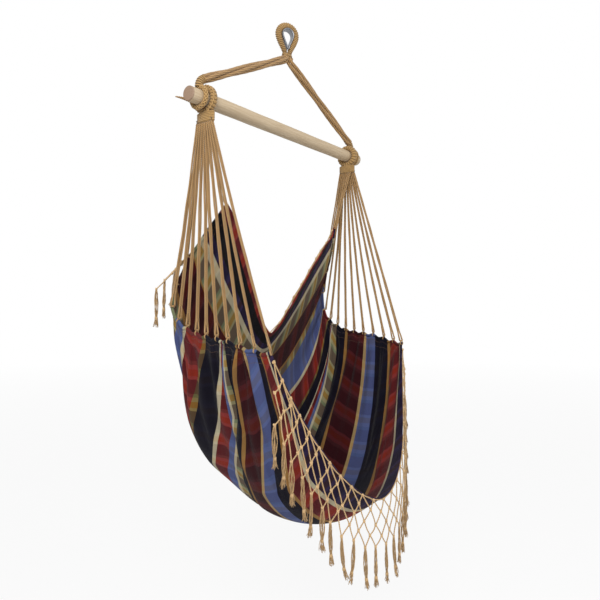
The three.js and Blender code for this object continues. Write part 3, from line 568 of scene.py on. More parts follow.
add_piece("steel_thimble", [turn_shape(thimble(), EYE_TWIST)], thimble_steel,
          "harness", ["eye_thimble"])
add_piece("served_eye", [turn_shape(eye_serving(), EYE_TWIST)], twine_cotton,
          "harness", ["eye_serving"])
print("eye opening", EYE_WIDTH, "by", EYE_HEIGHT, "m")

# %% [markdown]
# ## Throat seizing
# A few tight turns of twine hold both sides of the eye together. It's the same served surface as
# on the eye, with finer twine, on a section that is then stretched into an oval.

# %% Throat seizing
SEIZING_HEIGHT = 0.009
SEIZING_WIDTH = 0.046
SEIZING_DEPTH = 0.027
SEIZING_TURN = 0.0028
SEIZING_RIB = 0.0008


def throat_seizing():
    top = -THROAT_DROP - SEAT_GAP
    z = np.linspace(top, top - SEIZING_HEIGHT, 49)
    path = np.stack([0 * z, 0 * z, z], -1)
    share = np.linspace(-1, 1, len(z))
    round_off = np.sqrt(np.maximum(1 - np.abs(share) ** 9, 0.3))
    radius = SEIZING_DEPTH / 2 * round_off
    shape = served(path, radius, 32, turn=SEIZING_TURN, depth=SEIZING_RIB)
    shape["points"][:, 0] *= SEIZING_WIDTH / SEIZING_DEPTH
    return shape


add_piece("twine_seizing", [throat_seizing()], twine_cotton, "harness", ["throat_seizing"])
print("seizing of", round(SEIZING_HEIGHT / SEIZING_TURN), "turns")

# %% [markdown]
# ## Arms
# Below the seizing the rope parts into eight strands, four to each side, which run down to a
# ring at each end of the bar. Each group of four winds slowly round itself. Every strand is a
# soft cotton rope of six plies that hardly wind, so its grooves run nearly along it.

# %% Arms
STRAND_PITCH = 0.0116
ARM_START = 0.0118
ARM_NECK = 0.013
ARM_FOOT_SHARE = 0.3
ARM_TURNS = 0.7
ARM_STRANDS = 4
ARM_LAY = 0.240
ARM_STEP = 0.0035
HARNESS_REACH = BAR_HALF - 0.042
HARNESS_RADIAL = 0.015
HARNESS_AXIAL = 0.014
HARNESS_NECK = 0.025
HARNESS_NECK_RISE = 0.028
HARNESS_NECK_RUN = 0.015
RING_GAP = 0.0004
FLAT_SHARE = math.cos(math.pi / 8)
HARNESS_CENTRE = BAR_RADIUS + RING_GAP + HARNESS_RADIAL / 2 * FLAT_SHARE
UP = np.array([0.0, 0.0, 1.0])


def harness_neck_end(side):
    rise = HARNESS_CENTRE + HARNESS_NECK_RISE
    return np.array([side * (HARNESS_REACH - HARNESS_NECK_RUN), 0, rise + BAR_Z])


def arm_direction(side):
    rise = -BAR_Z - THROAT_DROP - SEIZING_HEIGHT - ARM_NECK - 2 * HARNESS_NECK_RISE
    return unit([-side * (HARNESS_REACH - ARM_START), 0, rise])


def arm_axis(side):
    top = -THROAT_DROP - 2 * SEAT_GAP - SEIZING_HEIGHT
    end = harness_neck_end(side)
    start = np.array([side * ARM_START, 0, top])
    knee = np.array([side * (ARM_START + ARM_NECK / 3), 0, top - ARM_NECK])
    points = [start, start - ARM_NECK * ARM_FOOT_SHARE * UP, knee]
    points += [knee + share * (end - knee) for share in (0.12, 0.3, 0.5, 0.7, 0.88)]
    return np.array(points + [end])


def arm_strand(side, number):
    axis = arm_axis(side)
    last = len(axis) - 1
    toward = arm_direction(side)
    points = []
    for i, centre in enumerate(axis):
        turn = 2 * math.pi * (0.125 + number / ARM_STRANDS + ARM_TURNS * max(i - 1, 0) / (last - 1))
        along = unit(axis[min(i + 1, last)] - axis[max(i - 1, 0)])
        if i < 2:
            along = -UP
        if i == last:
            along = -toward
        across = unit(np.cross(along, [0, 1, 0]))
        reach = STRAND_PITCH / math.sqrt(2)
        point = centre + across * reach * math.cos(turn) + np.array([0, 1, 0]) * reach * math.sin(turn)
        points.append(point)
    path = smooth_path(points, ARM_STEP)
    return laid_rope(path, STRAND_PITCH / 2, ARM_LAY, plies=6, sides=24, groove=0.15, start=number)


SIDES = (("left", -1), ("right", 1))
for side_name, side in SIDES:
    for number in range(ARM_STRANDS):
        node = f"{side_name}_arm_strand_{number + 1}"
        add_piece(f"{node}_laid", [arm_strand(side, number)], cord_cotton, "harness", [node])
print("arms:", 2 * ARM_STRANDS, "strands")

# %% [markdown]
# ## Harness rings
# Each arm ends in a thin ring braided round the bar, with a served neck above it and the rope's
# own pointed end beside it. Real strands that thin would blur into a smooth ring, so the braid
# is a relief: two waves cross round the ring, which leaves knobs with sunk holes between them.
# The holes are darker still with painted shade from the twine's finish.

# %% Harness rings
BRAID_KNOBS = 18
BRAID_ROWS = 4
BRAID_DEPTH = 0.0036
TAIL_REACH = 0.050
TAIL_RISE = 0.0065
TAIL_START = 0.013
TAIL_POINT = 0.0036
TAIL_LAY = 0.022


def braided_ring(side):
    angles = round_angles(BRAID_KNOBS * 14)[:, None]
    section = round_angles(BRAID_ROWS * 12)
    one_way, other_way = (BRAID_KNOBS * angles + sign * BRAID_ROWS * section for sign in (-1, 1))
    crossing = np.maximum(np.abs(np.cos(one_way / 2)), np.abs(np.cos(other_way / 2)))
    # crest is low in the holes between knobs, where the cotton finish paints shade.
    crest = np.clip(1.25 * crossing - 0.25, 0, 1)
    inset = BRAID_DEPTH * (1 - crest)
    out = HARNESS_CENTRE + (HARNESS_RADIAL / 2 - inset) * np.sin(section)
    x = side * HARNESS_REACH + (HARNESS_AXIAL / 2 - inset) * np.cos(section)
    points = np.stack([x, out * np.sin(angles), BAR_Z + out * np.cos(angles)], -1)
    return skin(points, crest, angles[:, 0] * HARNESS_CENTRE, closed=True)


def harness_neck(side):
    foot = np.array([side * HARNESS_REACH, 0, HARNESS_CENTRE + BAR_Z])
    end = harness_neck_end(side)
    bend = np.array([side * HARNESS_REACH, 0, (foot[2] + 2 * end[2]) / 3])
    w = np.linspace(0, 1, 72)[:, None]
    path = foot * (1 - w) ** 2 + 2 * bend * w * (1 - w) + end * w**2
    return served(path, HARNESS_NECK / 2, 18)


def rope_tail(side):
    lean = unit([0, 0.72, 0.7]) if side > 0 else unit([0, 1, -0.2])
    seat = side * (HARNESS_REACH + HARNESS_AXIAL / 2 * FLAT_SHARE + SEAT_GAP)
    share = np.linspace(0, 1, 26)
    out = HARNESS_CENTRE + TAIL_RISE * share**2
    path = np.stack([seat + side * TAIL_REACH * share, lean[1] * out, BAR_Z + lean[2] * out], -1)
    radius = (TAIL_START + (TAIL_POINT - TAIL_START) * share) / 2
    return laid_rope(path, radius, TAIL_LAY)


for side_name, side in SIDES:
    add_piece(f"{side_name}_braided_ring", [braided_ring(side), harness_neck(side)], twine_cotton,
              "harness", [f"{side_name}_harness_ring"])
    add_piece(f"{side_name}_tail_laid", [rope_tail(side)], cord_cotton,
              "harness", [f"{side_name}_rope_tail"])
print("harness rings with", BRAID_KNOBS, "knobs round the bar, and rope tails", TAIL_REACH, "m long")

# %% [markdown]
# ## Seat rings
# The thick rings that carry the seat are covered in half hitches: twine that wraps the ring
# and ties to itself each turn, which leaves broad ribs and a ridge of small hitches. Below, the
# same twine binds all the cords into a flat neck.

# %% Seat rings
SEAT_REACH = HARNESS_REACH - 0.028
SEAT_RADIAL = 0.021
SEAT_AXIAL = 0.024
SEAT_RIBS = 23
SEAT_RIB_DEPTH = 0.0024
SEAT_NECK_TOP = 0.070
SEAT_NECK_WIDTH = 0.068
SEAT_NECK_DEPTH = 0.026
SEAT_NECK_DROP = 0.068
SEAT_NECK_TURN = 0.0046
SEAT_NECK_RIB = 0.0011
SEAT_CENTRE = BAR_RADIUS + RING_GAP + SEAT_RADIAL / 2 * FLAT_SHARE
HITCH_GROOVE = 0.0004
HITCH_TWINE = 0.0016
HITCH_LIFT = 0.0008


def hitched_ring(side):
    angles = round_angles(SEAT_RIBS * 12)
    section = round_angles(20)
    wave = np.abs(np.cos(SEAT_RIBS * angles / 2))[:, None] ** 0.6
    fine = np.abs(np.sin(SEAT_RIBS * 3 * angles / 2))[:, None]
    inset = SEAT_RIB_DEPTH * (1 - wave) + HITCH_GROOVE * (1 - fine)
    out = SEAT_CENTRE + (SEAT_RADIAL / 2 - inset) * np.sin(section)
    x = side * SEAT_REACH + (SEAT_AXIAL / 2 - inset) * np.cos(section)
    points = np.stack([x, out * np.sin(angles)[:, None], BAR_Z + out * np.cos(angles)[:, None]], -1)
    # crest is low between the ribs and the hitches, where the cotton finish paints shade.
    crest = np.clip(0.25 + 0.75 * wave * (0.6 + 0.4 * fine), 0, 1) * np.ones(len(section))
    return skin(points, crest, angles * SEAT_CENTRE, closed=True)


def hitch_ridge(side):
    """The ridge of small hitches along the ring's outer face."""
    angles = round_angles(SEAT_RIBS * 10)
    out = SEAT_CENTRE + SEAT_RADIAL * 0.36 + HITCH_TWINE * np.sin(SEAT_RIBS * angles)
    x = side * (SEAT_REACH + SEAT_AXIAL * 0.36 + HITCH_LIFT * np.cos(2 * SEAT_RIBS * angles))
    path = np.stack([x, out * np.sin(angles), BAR_Z + out * np.cos(angles)], -1)
    return sweep(path, HITCH_TWINE, 8, closed=True)


def seat_neck(side):
    top = BAR_Z - BAR_RADIUS - SEAT_RADIAL * 0.62
    bottom = BAR_Z - SEAT_NECK_DROP
    z = np.linspace(top, bottom, 90)
    share = (z - top) / (bottom - top)
    turns = (top - z)[:, None] / SEAT_NECK_TURN
    angles = round_angles(36)
    rib = np.abs(np.sin(math.pi * (turns + angles / (2 * math.pi)))) ** 0.7
    tuck = np.sqrt(np.clip(1 - np.abs(2 * share - 1) ** 14, 0.35, 1))[:, None]
    half_y = (SEAT_NECK_TOP + (SEAT_NECK_WIDTH - SEAT_NECK_TOP) * share)[:, None] / 2 * tuck
    half_x = (SEAT_AXIAL + (SEAT_NECK_DEPTH - SEAT_AXIAL) * share)[:, None] / 2 * tuck
    inset = SEAT_NECK_RIB * (1 - rib)
    points = np.stack([
        side * SEAT_REACH + (half_x - inset) * np.cos(angles),
        (half_y - inset) * np.sin(angles),
        np.broadcast_to(z[:, None], rib.shape),
    ], -1)
    # rib goes in as the crest, so the cotton finish paints shade between the turns.
    return skin(points, rib, top - z, closed=False)


for side_name, side in SIDES:
    shapes = [hitched_ring(side), hitch_ridge(side), seat_neck(side)]
    add_piece(f"{side_name}_hitched_ring", shapes, twine_cotton,
              "seat", [f"{side_name}_seat_ring"])
print("rings ride on the bar at", HARNESS_REACH, "and", SEAT_REACH, "m")

# %% [markdown]
# ## The shape of the seat
# The cloth hangs from fourteen points on each side. Its ends follow a curve, its middle follows
# another, and each stripe between them rounds off like a slack rope. These curves are the same
# as in the frame's source. v runs from the back edge (0) to the front edge (1), and u across,
# from -1 at the left end to 1 at the right. Pleats start at the cords and die out inward, from
# PLEAT_FULL to PLEAT_END as shares of the way to the middle, and towards the two long edges.

# %% Seat curves
CORDS_PER_SIDE = 14
ATTACHMENTS = CORDS_PER_SIDE - 1
CLOTH_HALF_SPREAD = 0.400
CLOTH_DROP = 1.280
CLOTH_FRONT = 0.360
CLOTH_THICKNESS = 0.003
CLOTH_COLUMNS = 22
PLEAT_DEPTH = 0.011
PLEAT_FULL = 0.12
PLEAT_END = 0.62
PLEAT_BACK = 0.4
PLEAT_FRONT = 0.06
FOLD_DEPTH = 0.017
FOLD_REACH = 0.85
FOLD_COUNT = 3.2
FOLD_SLANT = 0.55
SCALLOP_DEPTH = 0.007
SCALLOP_REACH = 0.1
SCALLOP_BACK = 0.25
VALLEY_DEPTH = 0.022
VALLEY_WIDTH = 0.015
VALLEY_CREST = 0.4
VALLEY_CREST_AT = 1.9
VALLEY_U = (-1, -0.93, -0.72, -0.5, -0.36)
VALLEY_V = (0.825, 0.81, 0.775, 0.715, 0.67)
VALLEY_SHARES = (0, 1, 1, 0.4, 0)
FINE_ROWS = 520
FINE_COLUMNS = 200
NORMAL_STEP = 0.012

# spread, reach to the front and drop of the ends, from back to front
END_SHARES = [
    (0.725, 0, 0.2305), (0.825, -0.111, 0.293), (0.9, -0.236, 0.3555), (0.95, -0.328, 0.418),
    (0.9925, -0.347, 0.4727), (1, -0.272, 0.5063), (1, -0.167, 0.525), (1, -0.056, 0.5359),
    (1, 0.056, 0.543), (1, 0.172, 0.5469), (1, 0.292, 0.5516), (1, 0.417, 0.5609),
    (0.9825, 0.542, 0.5695), (0.9375, 0.667, 0.5742),
]
# reach to the front and drop of the middle
MIDDLE_SHARES = [
    (-0.236, 0.539), (-0.458, 0.648), (-0.556, 0.766), (-0.486, 0.875),
    (-0.236, 0.957), (0.167, 1), (0.597, 0.984), (1, 0.91),
]
# how far each stripe runs level from the middle, and the spread and drop of its shoulder
ROUND_SHARES = [
    (0.16, 0.54, 0.36), (0.36, 0.8, 0.48), (0.5, 0.94, 0.6), (0.52, 1, 0.63),
    (0.47, 0.98, 0.58), (0.48, 0.96, 0.56), (0.4, 0.88, 0.38),
]


def table_at(table, v):
    """Smooth values of a table, whose rows run evenly from v = 0 to v = 1, at each v."""
    table = np.asarray(table, float)
    last = len(table) - 1
    span = np.asarray(v, float) * last
    i = np.clip(np.floor(span).astype(int), 0, last - 1)
    w = (span - i)[:, None]
    b, c = table[i], table[i + 1]
    a = np.where((i > 0)[:, None], table[np.maximum(i - 1, 0)], 2 * b - c)
    d = np.where((i + 2 <= last)[:, None], table[np.minimum(i + 2, last)], 2 * c - b)
    return catmull_rom(a, b, c, d, w)


def stripe_half(v):
    """Points along the right half of each stripe, evenly spaced: (len(v), FINE_COLUMNS + 1, 3)."""
    spread, reach, drop = table_at(END_SHARES, v).T
    end = np.stack([spread * CLOTH_HALF_SPREAD, -reach * CLOTH_FRONT, BAR_Z - drop * CLOTH_DROP], -1)
    reach, drop = table_at(MIDDLE_SHARES, v).T
    middle = np.stack([0 * reach, -reach * CLOTH_FRONT, BAR_Z - drop * CLOTH_DROP], -1)
    handle, shoulder_spread, shoulder_drop = table_at(ROUND_SHARES, v).T
    near = middle.copy()
    near[:, 0] = handle * end[:, 0]
    shoulder = end + (middle - end) * shoulder_drop[:, None]
    shoulder[:, 0] = shoulder_spread * end[:, 0]
    w = np.linspace(0, 1, FINE_COLUMNS + 1)[None, :, None]
    curves = bezier([corner[:, None] for corner in (middle, near, shoulder, end)], w)
    return np.array([even_spaced(curve, FINE_COLUMNS + 1) for curve in curves])


fine_seat = stripe_half(np.linspace(0, 1, FINE_ROWS + 1))
print("seat curves sampled at", FINE_ROWS + 1, "by", FINE_COLUMNS + 1, "points a side")


def sample(grid, row, column):
    """Values of a grid between its points."""
    rows, columns = grid.shape[0] - 1, grid.shape[1] - 1
    row = np.clip(row, 0, rows)
    column = np.clip(column, 0, columns)
    r = np.minimum(np.floor(row).astype(int), rows - 1)
    c = np.minimum(np.floor(column).astype(int), columns - 1)
    y = (row - r)[..., None]
    x = (column - c)[..., None]
    top = grid[r, c] * (1 - x) + grid[r, c + 1] * x
    low = grid[r + 1, c] * (1 - x) + grid[r + 1, c + 1] * x
    return top * (1 - y) + low * y


def smooth_seat(u, v):
    """Points of the seat before pleats and folds, for arrays or numbers u and v."""
    u, v = np.broadcast_arrays(np.asarray(u, float), np.asarray(v, float))
    points = sample(fine_seat, v * FINE_ROWS, np.abs(u) * FINE_COLUMNS)
    points[..., 0] *= np.where(u < 0, -1, 1)
    return points


def seat_normal(u, v):
    step = NORMAL_STEP
    across = smooth_seat(np.minimum(u + step, 1), v) - smooth_seat(np.maximum(u - step, -1), v)
    forward = smooth_seat(u, np.minimum(v + step, 1)) - smooth_seat(u, np.maximum(v - step, 0))
    return -unit(np.cross(across, forward))


def valley(u, v):
    """How far the one deep fold of the left side sinks into the bowl, with a low crest each side."""
    away = np.abs(v - np.interp(u, VALLEY_U, VALLEY_V)) / VALLEY_WIDTH
    sunk = np.exp(-away**2) - VALLEY_CREST * np.exp(-((away - VALLEY_CREST_AT) ** 2))
    return VALLEY_DEPTH * sunk * np.interp(u, VALLEY_U, VALLEY_SHARES)


def seat_point(u, v):
    """Points of the hanging seat: pleats below the cords, broad folds and a scalloped hem."""
    u, v = np.broadcast_arrays(np.asarray(u, float), np.asarray(v, float))
    inward = 1 - np.abs(u)
    rise = np.minimum(inward / PLEAT_FULL, 1) * np.maximum(1 - inward / PLEAT_END, 0)
    share = rise * np.minimum(v / PLEAT_BACK, 1) * np.minimum((1 - v) / PLEAT_FRONT, 1)
    pleat = PLEAT_DEPTH * share * np.cos(2 * math.pi * ATTACHMENTS * v)
    window = np.sin(math.pi * np.minimum(inward / FOLD_REACH, 1)) * np.sin(math.pi * v) ** 2
    fold = FOLD_DEPTH * window * np.sin(2 * math.pi * (FOLD_COUNT * v + FOLD_SLANT * inward))
    points = smooth_seat(u, v) + seat_normal(u, v) * (pleat + fold - valley(u, v))[..., None]
    between = np.sin(math.pi * ATTACHMENTS * v) ** 2
    edge = np.maximum(1 - inward / SCALLOP_REACH, 0)
    points[..., 2] -= SCALLOP_DEPTH * between * edge * np.minimum(v / SCALLOP_BACK, 1)
    return points


# %% [markdown]
# ## The cloth as a grid
# The curves are sampled into one grid of points, twelve rows to each gap between two cords, so
# that every pleat has its own rows. Its area and the lengths of its stripes are the size that
# the cloth was cut to.

# %% Seat size
def grid_area(grid):
    """The area of a grid of points, from the diagonals of its squares."""
    crossed = np.cross(grid[1:, 1:] - grid[:-1, :-1], grid[:-1, 1:] - grid[1:, :-1])
    return 0.5 * np.linalg.norm(crossed, axis=-1).sum()


def grid_mesh(name, grid, inward=False):
    """A mesh of a grid's squares, whose faces look out of the bowl or into it."""
    rows, columns = grid.shape[:2]
    index = np.arange(rows * columns).reshape(rows, columns)
    quads = np.stack([index[:-1, :-1], index[1:, :-1], index[1:, 1:], index[:-1, 1:]], -1)
    if inward:
        quads = quads[..., [0, 3, 2, 1]]
    mesh = bpy.data.meshes.new(name)
    mesh.from_pydata(grid.reshape(-1, 3).tolist(), [], quads.reshape(-1, 4).tolist())
    return mesh


ROWS = ATTACHMENTS * 12
COLUMNS = 128
row_v = np.linspace(0, 1, ROWS + 1)
column_u = np.linspace(-1, 1, COLUMNS + 1)
hung_grid = seat_point(*np.meshgrid(column_u, row_v))
stripe_lengths = np.linalg.norm(np.diff(hung_grid, axis=1), axis=2).sum(1)
print("cloth area", round(grid_area(hung_grid), 3), "m2, stripes", stripe_lengths.min().round(3),
      "to", stripe_lengths.max().round(3), "m long")

# %% [markdown]
# ## Hanging the cloth
# The curves give the broad shape. Real cloth adds small tight lines below each cord and soft
# wrinkles where it is slack. Sculpting those by hand looks made up, so a short cloth simulation
# does it: the ends are held, the cloth is let out by a little, and gravity acts for a moment.
# How far a point may move is capped, so the cloth stays in the space that its solid holds.

# %% Hang the cloth
HANG_FRAMES = 22
HANG_CAP = 0.014
LET_OUT = -0.022
COTTON = {
    "quality": 6, "mass": 0.12, "air_damping": 3,
    "tension_stiffness": 30, "compression_stiffness": 12, "shear_stiffness": 6, "bending_stiffness": 0.25,
    "tension_damping": 12, "compression_damping": 12, "shear_damping": 8, "bending_damping": 0.5,
}


def hang(grid):
    trial = link_object("cloth_trial", grid_mesh("cloth_trial", grid, inward=True))
    ends = np.arange(grid.shape[0] * grid.shape[1]).reshape(grid.shape[:2])[:, [0, -1]]
    held = trial.vertex_groups.new(name="held")
    held.add(ends.ravel().tolist(), 1.0, "REPLACE")
    cloth = trial.modifiers.new("hang", "CLOTH")
    for name, value in COTTON.items():
        setattr(cloth.settings, name, value)
    cloth.settings.shrink_min = LET_OUT
    cloth.settings.vertex_group_mass = "held"
    cloth.point_cache.frame_start = 1
    cloth.point_cache.frame_end = HANG_FRAMES
    for number in range(1, HANG_FRAMES + 1):
        bpy.context.scene.frame_set(number)
    settled = trial.evaluated_get(bpy.context.evaluated_depsgraph_get())
    moved = np.zeros(grid.size)
    settled.data.vertices.foreach_get("co", moved)
    bpy.data.objects.remove(trial)
    bpy.context.scene.frame_set(1)
    shift = moved.reshape(grid.shape) - grid
    far = np.linalg.norm(shift, axis=-1, keepdims=True)
    print("cloth moved up to", far.max().round(4), "m, middle of all", np.median(far).round(4))
    return grid + shift * np.minimum(1, HANG_CAP / np.maximum(far, 1e-9))


cloth_grid = hang(hung_grid)


def on_cloth(u, v):
    """The finished cloth's point and normal at u and v. The normal points out of the bowl."""
    row = np.asarray(v, float) * ROWS
    column = (np.asarray(u, float) + 1) / 2 * COLUMNS
    near = 0.7
    across = sample(cloth_grid, row, column + near) - sample(cloth_grid, row, column - near)
    forward = sample(cloth_grid, row + near, column) - sample(cloth_grid, row - near, column)
    return sample(cloth_grid, row, column), -unit(np.cross(across, forward))


# %% [markdown]
# ## Striped cotton
# The cloth is a plain weave of thick cotton. The long stripes are in the warp, and blue, brick
# and ochre bands in the weft cross them, so every stripe is brighter in one block and darker in
# the next. Painting a picture would be quick, but a colour ramp along v gives clean stripes, and
# a second one along u gives the weft, which each stripe shows more or less of. The UV holds
# metres, so the weave has a real scale. The cords gather the cloth unevenly, so each stripe has
# its own place at the left hem, at two places down the left side and at the right hem, and runs
# straight between these. One navy stripe is also widened at the left hem over the deep fold
# there, so part of its width is painted shade of the fold.

# %% Striped cotton
CLOTH_WIDTH = 1.24
NAVY = colour(20, 17, 32)
INDIGO = colour(50, 38, 74)
CREAM = colour(190, 180, 150)
WHEAT = colour(168, 142, 96)
OCHRE = colour(150, 112, 62)
OLIVE = colour(126, 110, 68)
SAGE = colour(150, 145, 108)
RED = colour(132, 50, 48)
MAROON = colour(76, 27, 31)
BLUE = colour(84, 96, 142)
BLACK = colour(17, 13, 19)
DEEP = colour(168, 150, 168)
CLEAR = colour(250, 246, 242)
WARM = colour(250, 206, 150)
COOL = colour(196, 214, 216)

STRIPE_PLACES = (-1, -0.72, -0.4, 1)
# each stripe's colour, and the v at which it ends at each of those places
STRIPES = [
    (RED, 0.022, 0.019, 0.015, 0.001), (BLACK, 0.070, 0.058, 0.045, 0.002),
    (INDIGO, 0.090, 0.076, 0.060, 0.030), (CREAM, 0.110, 0.091, 0.070, 0.045),
    (SAGE, 0.140, 0.131, 0.120, 0.100), (OCHRE, 0.145, 0.136, 0.125, 0.107),
    (MAROON, 0.240, 0.221, 0.200, 0.190), (OCHRE, 0.250, 0.231, 0.210, 0.200),
    (SAGE, 0.368, 0.313, 0.250, 0.202), (BLUE, 0.430, 0.370, 0.300, 0.300),
    (CREAM, 0.455, 0.390, 0.320, 0.308), (RED, 0.588, 0.511, 0.430, 0.370),
    (OLIVE, 0.610, 0.536, 0.450, 0.380), (NAVY, 0.712, 0.632, 0.520, 0.410),
    (CREAM, 0.727, 0.647, 0.530, 0.412), (RED, 0.737, 0.712, 0.580, 0.414),
    (BLUE, 0.739, 0.736, 0.620, 0.416), (CREAM, 0.741, 0.744, 0.632, 0.424),
    # The navy stripe on this line, ending at v 0.822 at the left hem, is widened over the deep fold: part
    # of its width there is a real navy stripe and part is painted shade of the fold.
    (SAGE, 0.743, 0.757, 0.667, 0.460), (NAVY, 0.822, 0.781, 0.690, 0.540),
    (OCHRE, 0.834, 0.789, 0.700, 0.560), (MAROON, 0.858, 0.858, 0.756, 0.700),
    (WHEAT, 0.876, 0.870, 0.768, 0.718), (BLUE, 0.935, 0.905, 0.810, 0.785),
    (NAVY, 0.950, 0.928, 0.850, 0.880), (OCHRE, 0.955, 0.934, 0.860, 0.895),
    (RED, 0.980, 0.962, 0.915, 0.984), (CREAM, 0.986, 0.968, 0.925, 0.988),
    (INDIGO, 1.000, 1.000, 1.000, 1.000),
]
WEFT_SHOWS = {BLUE: 0.45, CREAM: 0.3, WHEAT: 0.25, OCHRE: 0.25, NAVY: 0.6}
WEFT_REPEAT = 0.098
WEFT = [(DEEP, 0.0), (COOL, 0.34), (CLEAR, 0.46), (WARM, 0.60), (CLEAR, 0.80), (DEEP, 0.90)]
THREAD = 0.0012
THREAD_RELIEF = 0.0003
SLUB_STRETCH = (60, 900, 1)
STRIPE_WAVER = 0.006
BEYOND_EDGE = 5.0


def ramp(tree, factor, stops):
    """A colour ramp with hard edges: each stop's colour holds from its position to the next."""
    made = add_node(tree, "ValToRGB", {"Fac": factor})
    made.color_ramp.interpolation = "CONSTANT"
    elements = made.color_ramp.elements
    while len(elements) < len(stops):
        elements.new(1.0)
    for element, (shade, position) in zip(elements, stops):
        element.position = position
    for element, (shade, position) in zip(elements, stops):
        element.color = shade
    return made.outputs["Color"], made.outputs["Alpha"]


def stripe_ends(u=None):
    """Where the stripes start and end, as shares of the width: at each u, or on the flat cloth."""
    table = np.array([(0,) * len(STRIPE_PLACES)] + [stripe[1:] for stripe in STRIPES])
    if u is None:
        return table.mean(1)
    return np.stack([np.interp(u, STRIPE_PLACES, row) for row in table], -1)


def stripe_stops():
    """Each stripe's colour and start. The colour's fourth number is how much its weft shows."""
    shades = [(*stripe[0][:3], WEFT_SHOWS.get(stripe[0], 1.0)) for stripe in STRIPES]
    return [(shade, float(start)) for shade, start in zip(shades, stripe_ends())]


def flat_along(u, v):
    """How far across the stripes a point of the hung cloth lies when it is flat, in metres."""
    u, v = np.broadcast_arrays(np.asarray(u, float), np.asarray(v, float))
    hung, flat = stripe_ends(u), stripe_ends()
    stripe = np.clip((v[..., None] >= hung).sum(-1) - 1, 0, len(STRIPES) - 1)
    low = np.take_along_axis(hung, stripe[..., None], -1)[..., 0]
    high = np.take_along_axis(hung, stripe[..., None] + 1, -1)[..., 0]
    share = (v - low) / (high - low)
    return (flat[stripe] + share * (flat[stripe + 1] - flat[stripe])) * CLOTH_WIDTH


def cloth_material():
    material, tree, shader = start_material("striped_cotton", roughness=0.9, sheen=0.06, specular=0.1)
    weave, across, along = uv_parts(tree, "weave")
    wavering = noise(tree, object_place(tree), 7.0)
    waver = scaled(tree, wavering, STRIPE_WAVER, -STRIPE_WAVER / 2)
    share = math_node(tree, "ADD", math_node(tree, "DIVIDE", along, CLOTH_WIDTH), waver)
    warp, weft_shows = ramp(tree, share, stripe_stops())
    inside = math_node(tree, "ADD", across, BEYOND_EDGE)
    repeat = math_node(tree, "FRACT", math_node(tree, "DIVIDE", inside, WEFT_REPEAT))
    weft, _ = ramp(tree, repeat, WEFT)
    woven = mix_colours(tree, weft_shows, warp, weft, blend="MULTIPLY")
    angles = [math_node(tree, "MULTIPLY", part, 2 * math.pi / THREAD) for part in (across, along)]
    rib, pick = (math_node(tree, "SINE", angle) for angle in angles)
    threads = math_node(tree, "MULTIPLY", rib, pick)
    slub = noise(tree, weave, 1.0, stretch=SLUB_STRETCH)
    tone = scaled(tree, threads, 0.06, scaled(tree, slub, 0.3, 0.86))
    grey = add_node(tree, "CombineXYZ", {"X": tone, "Y": tone, "Z": tone}).outputs["Vector"]
    tree.links.new(mix_colours(tree, 1.0, woven, grey, blend="MULTIPLY"), shader.inputs["Base Color"])
    height = scaled(tree, slub, 1.5, threads)
    tree.links.new(bump(tree, height, THREAD_RELIEF, 0.8), shader.inputs["Normal"])
    return material


striped_cotton = cloth_material()
print("striped cotton:", len(STRIPES), "stripes, weft repeats every", WEFT_REPEAT, "m")

# %% [markdown]
# ## Seat cloth
# The hung grid becomes the seat's mesh. One level of subdivision rounds its squares, and a solidify
# modifier gives it a real thickness, which a plain grid doesn't have and light would show. The UV
# is worked out from the lengths of the cloth, so the stripes aren't stretched by the folds.

# %% Seat cloth
CLOTH_SHEET = 0.0016


def flat_lengths(grid):
    """How far across from the middle each point of the cloth lies, in metres."""
    steps = np.linalg.norm(np.diff(grid, axis=1), axis=2)
    travelled = np.concatenate([np.zeros((len(grid), 1)), np.cumsum(steps, 1)], 1)
    return travelled - travelled[:, [-1]] / 2


weave_across = flat_lengths(hung_grid)


def cloth_object(grid):
    mesh = grid_mesh("woven_seat", grid)
    along = flat_along(column_u[None, :], row_v[:, None])
    finish_mesh(mesh, "weave", np.stack([weave_across, along], -1).reshape(-1, 2), striped_cotton)
    made = link_object("woven_seat", mesh)
    smooth = made.modifiers.new("smooth", "SUBSURF")
    smooth.levels = 1
    smooth.render_levels = 1
    thick = made.modifiers.new("thickness", "SOLIDIFY")
    thick.thickness = CLOTH_SHEET
    thick.offset = 0
    return made


seat_cloth = cloth_object(cloth_grid)
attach(seat_cloth, "seat")
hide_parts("seat_cloth")
print("seat cloth:", len(seat_cloth.data.polygons), "faces before smoothing")

# %% [markdown]
# ## End hems
# Each end of the cloth is rolled over a cord and sewn down with two rows of stitches. The roll
# is a tube in the same striped cotton, whose UV carries on from the cloth, so the stripes run
# over it. The stitches are small arched threads on both faces.

# %% End hems
HEM = 0.009
HEM_ROLL = 0.0052
HEM_STEPS = ATTACHMENTS * 12
STITCH_LINES = (0.009, 0.027)
STITCH = 0.0046
STITCH_REPEAT = 0.0068
STITCH_THREAD = 0.0006
STITCH_SUNK = 0.0004


def hem_frame(side, v):
    """Directions along the hem and out of the cloth, and the middle of the rolled hem."""
    rows = 2 * ATTACHMENTS
    v = np.atleast_1d(np.asarray(v, float))
    edge = seat_point(side, v)
    inside = seat_point(side * (1 - 2 / CLOTH_COLUMNS), v)
    ahead, behind = np.minimum(v + 1 / rows, 1), np.maximum(v - 1 / rows, 0)
    along = unit(seat_point(side, ahead) - seat_point(side, behind))
    out = edge - inside
    out = unit(out - (out * along).sum(-1, keepdims=True) * along)
    return along, out, edge + out * (HEM / 2 + 2 * SEAT_GAP)


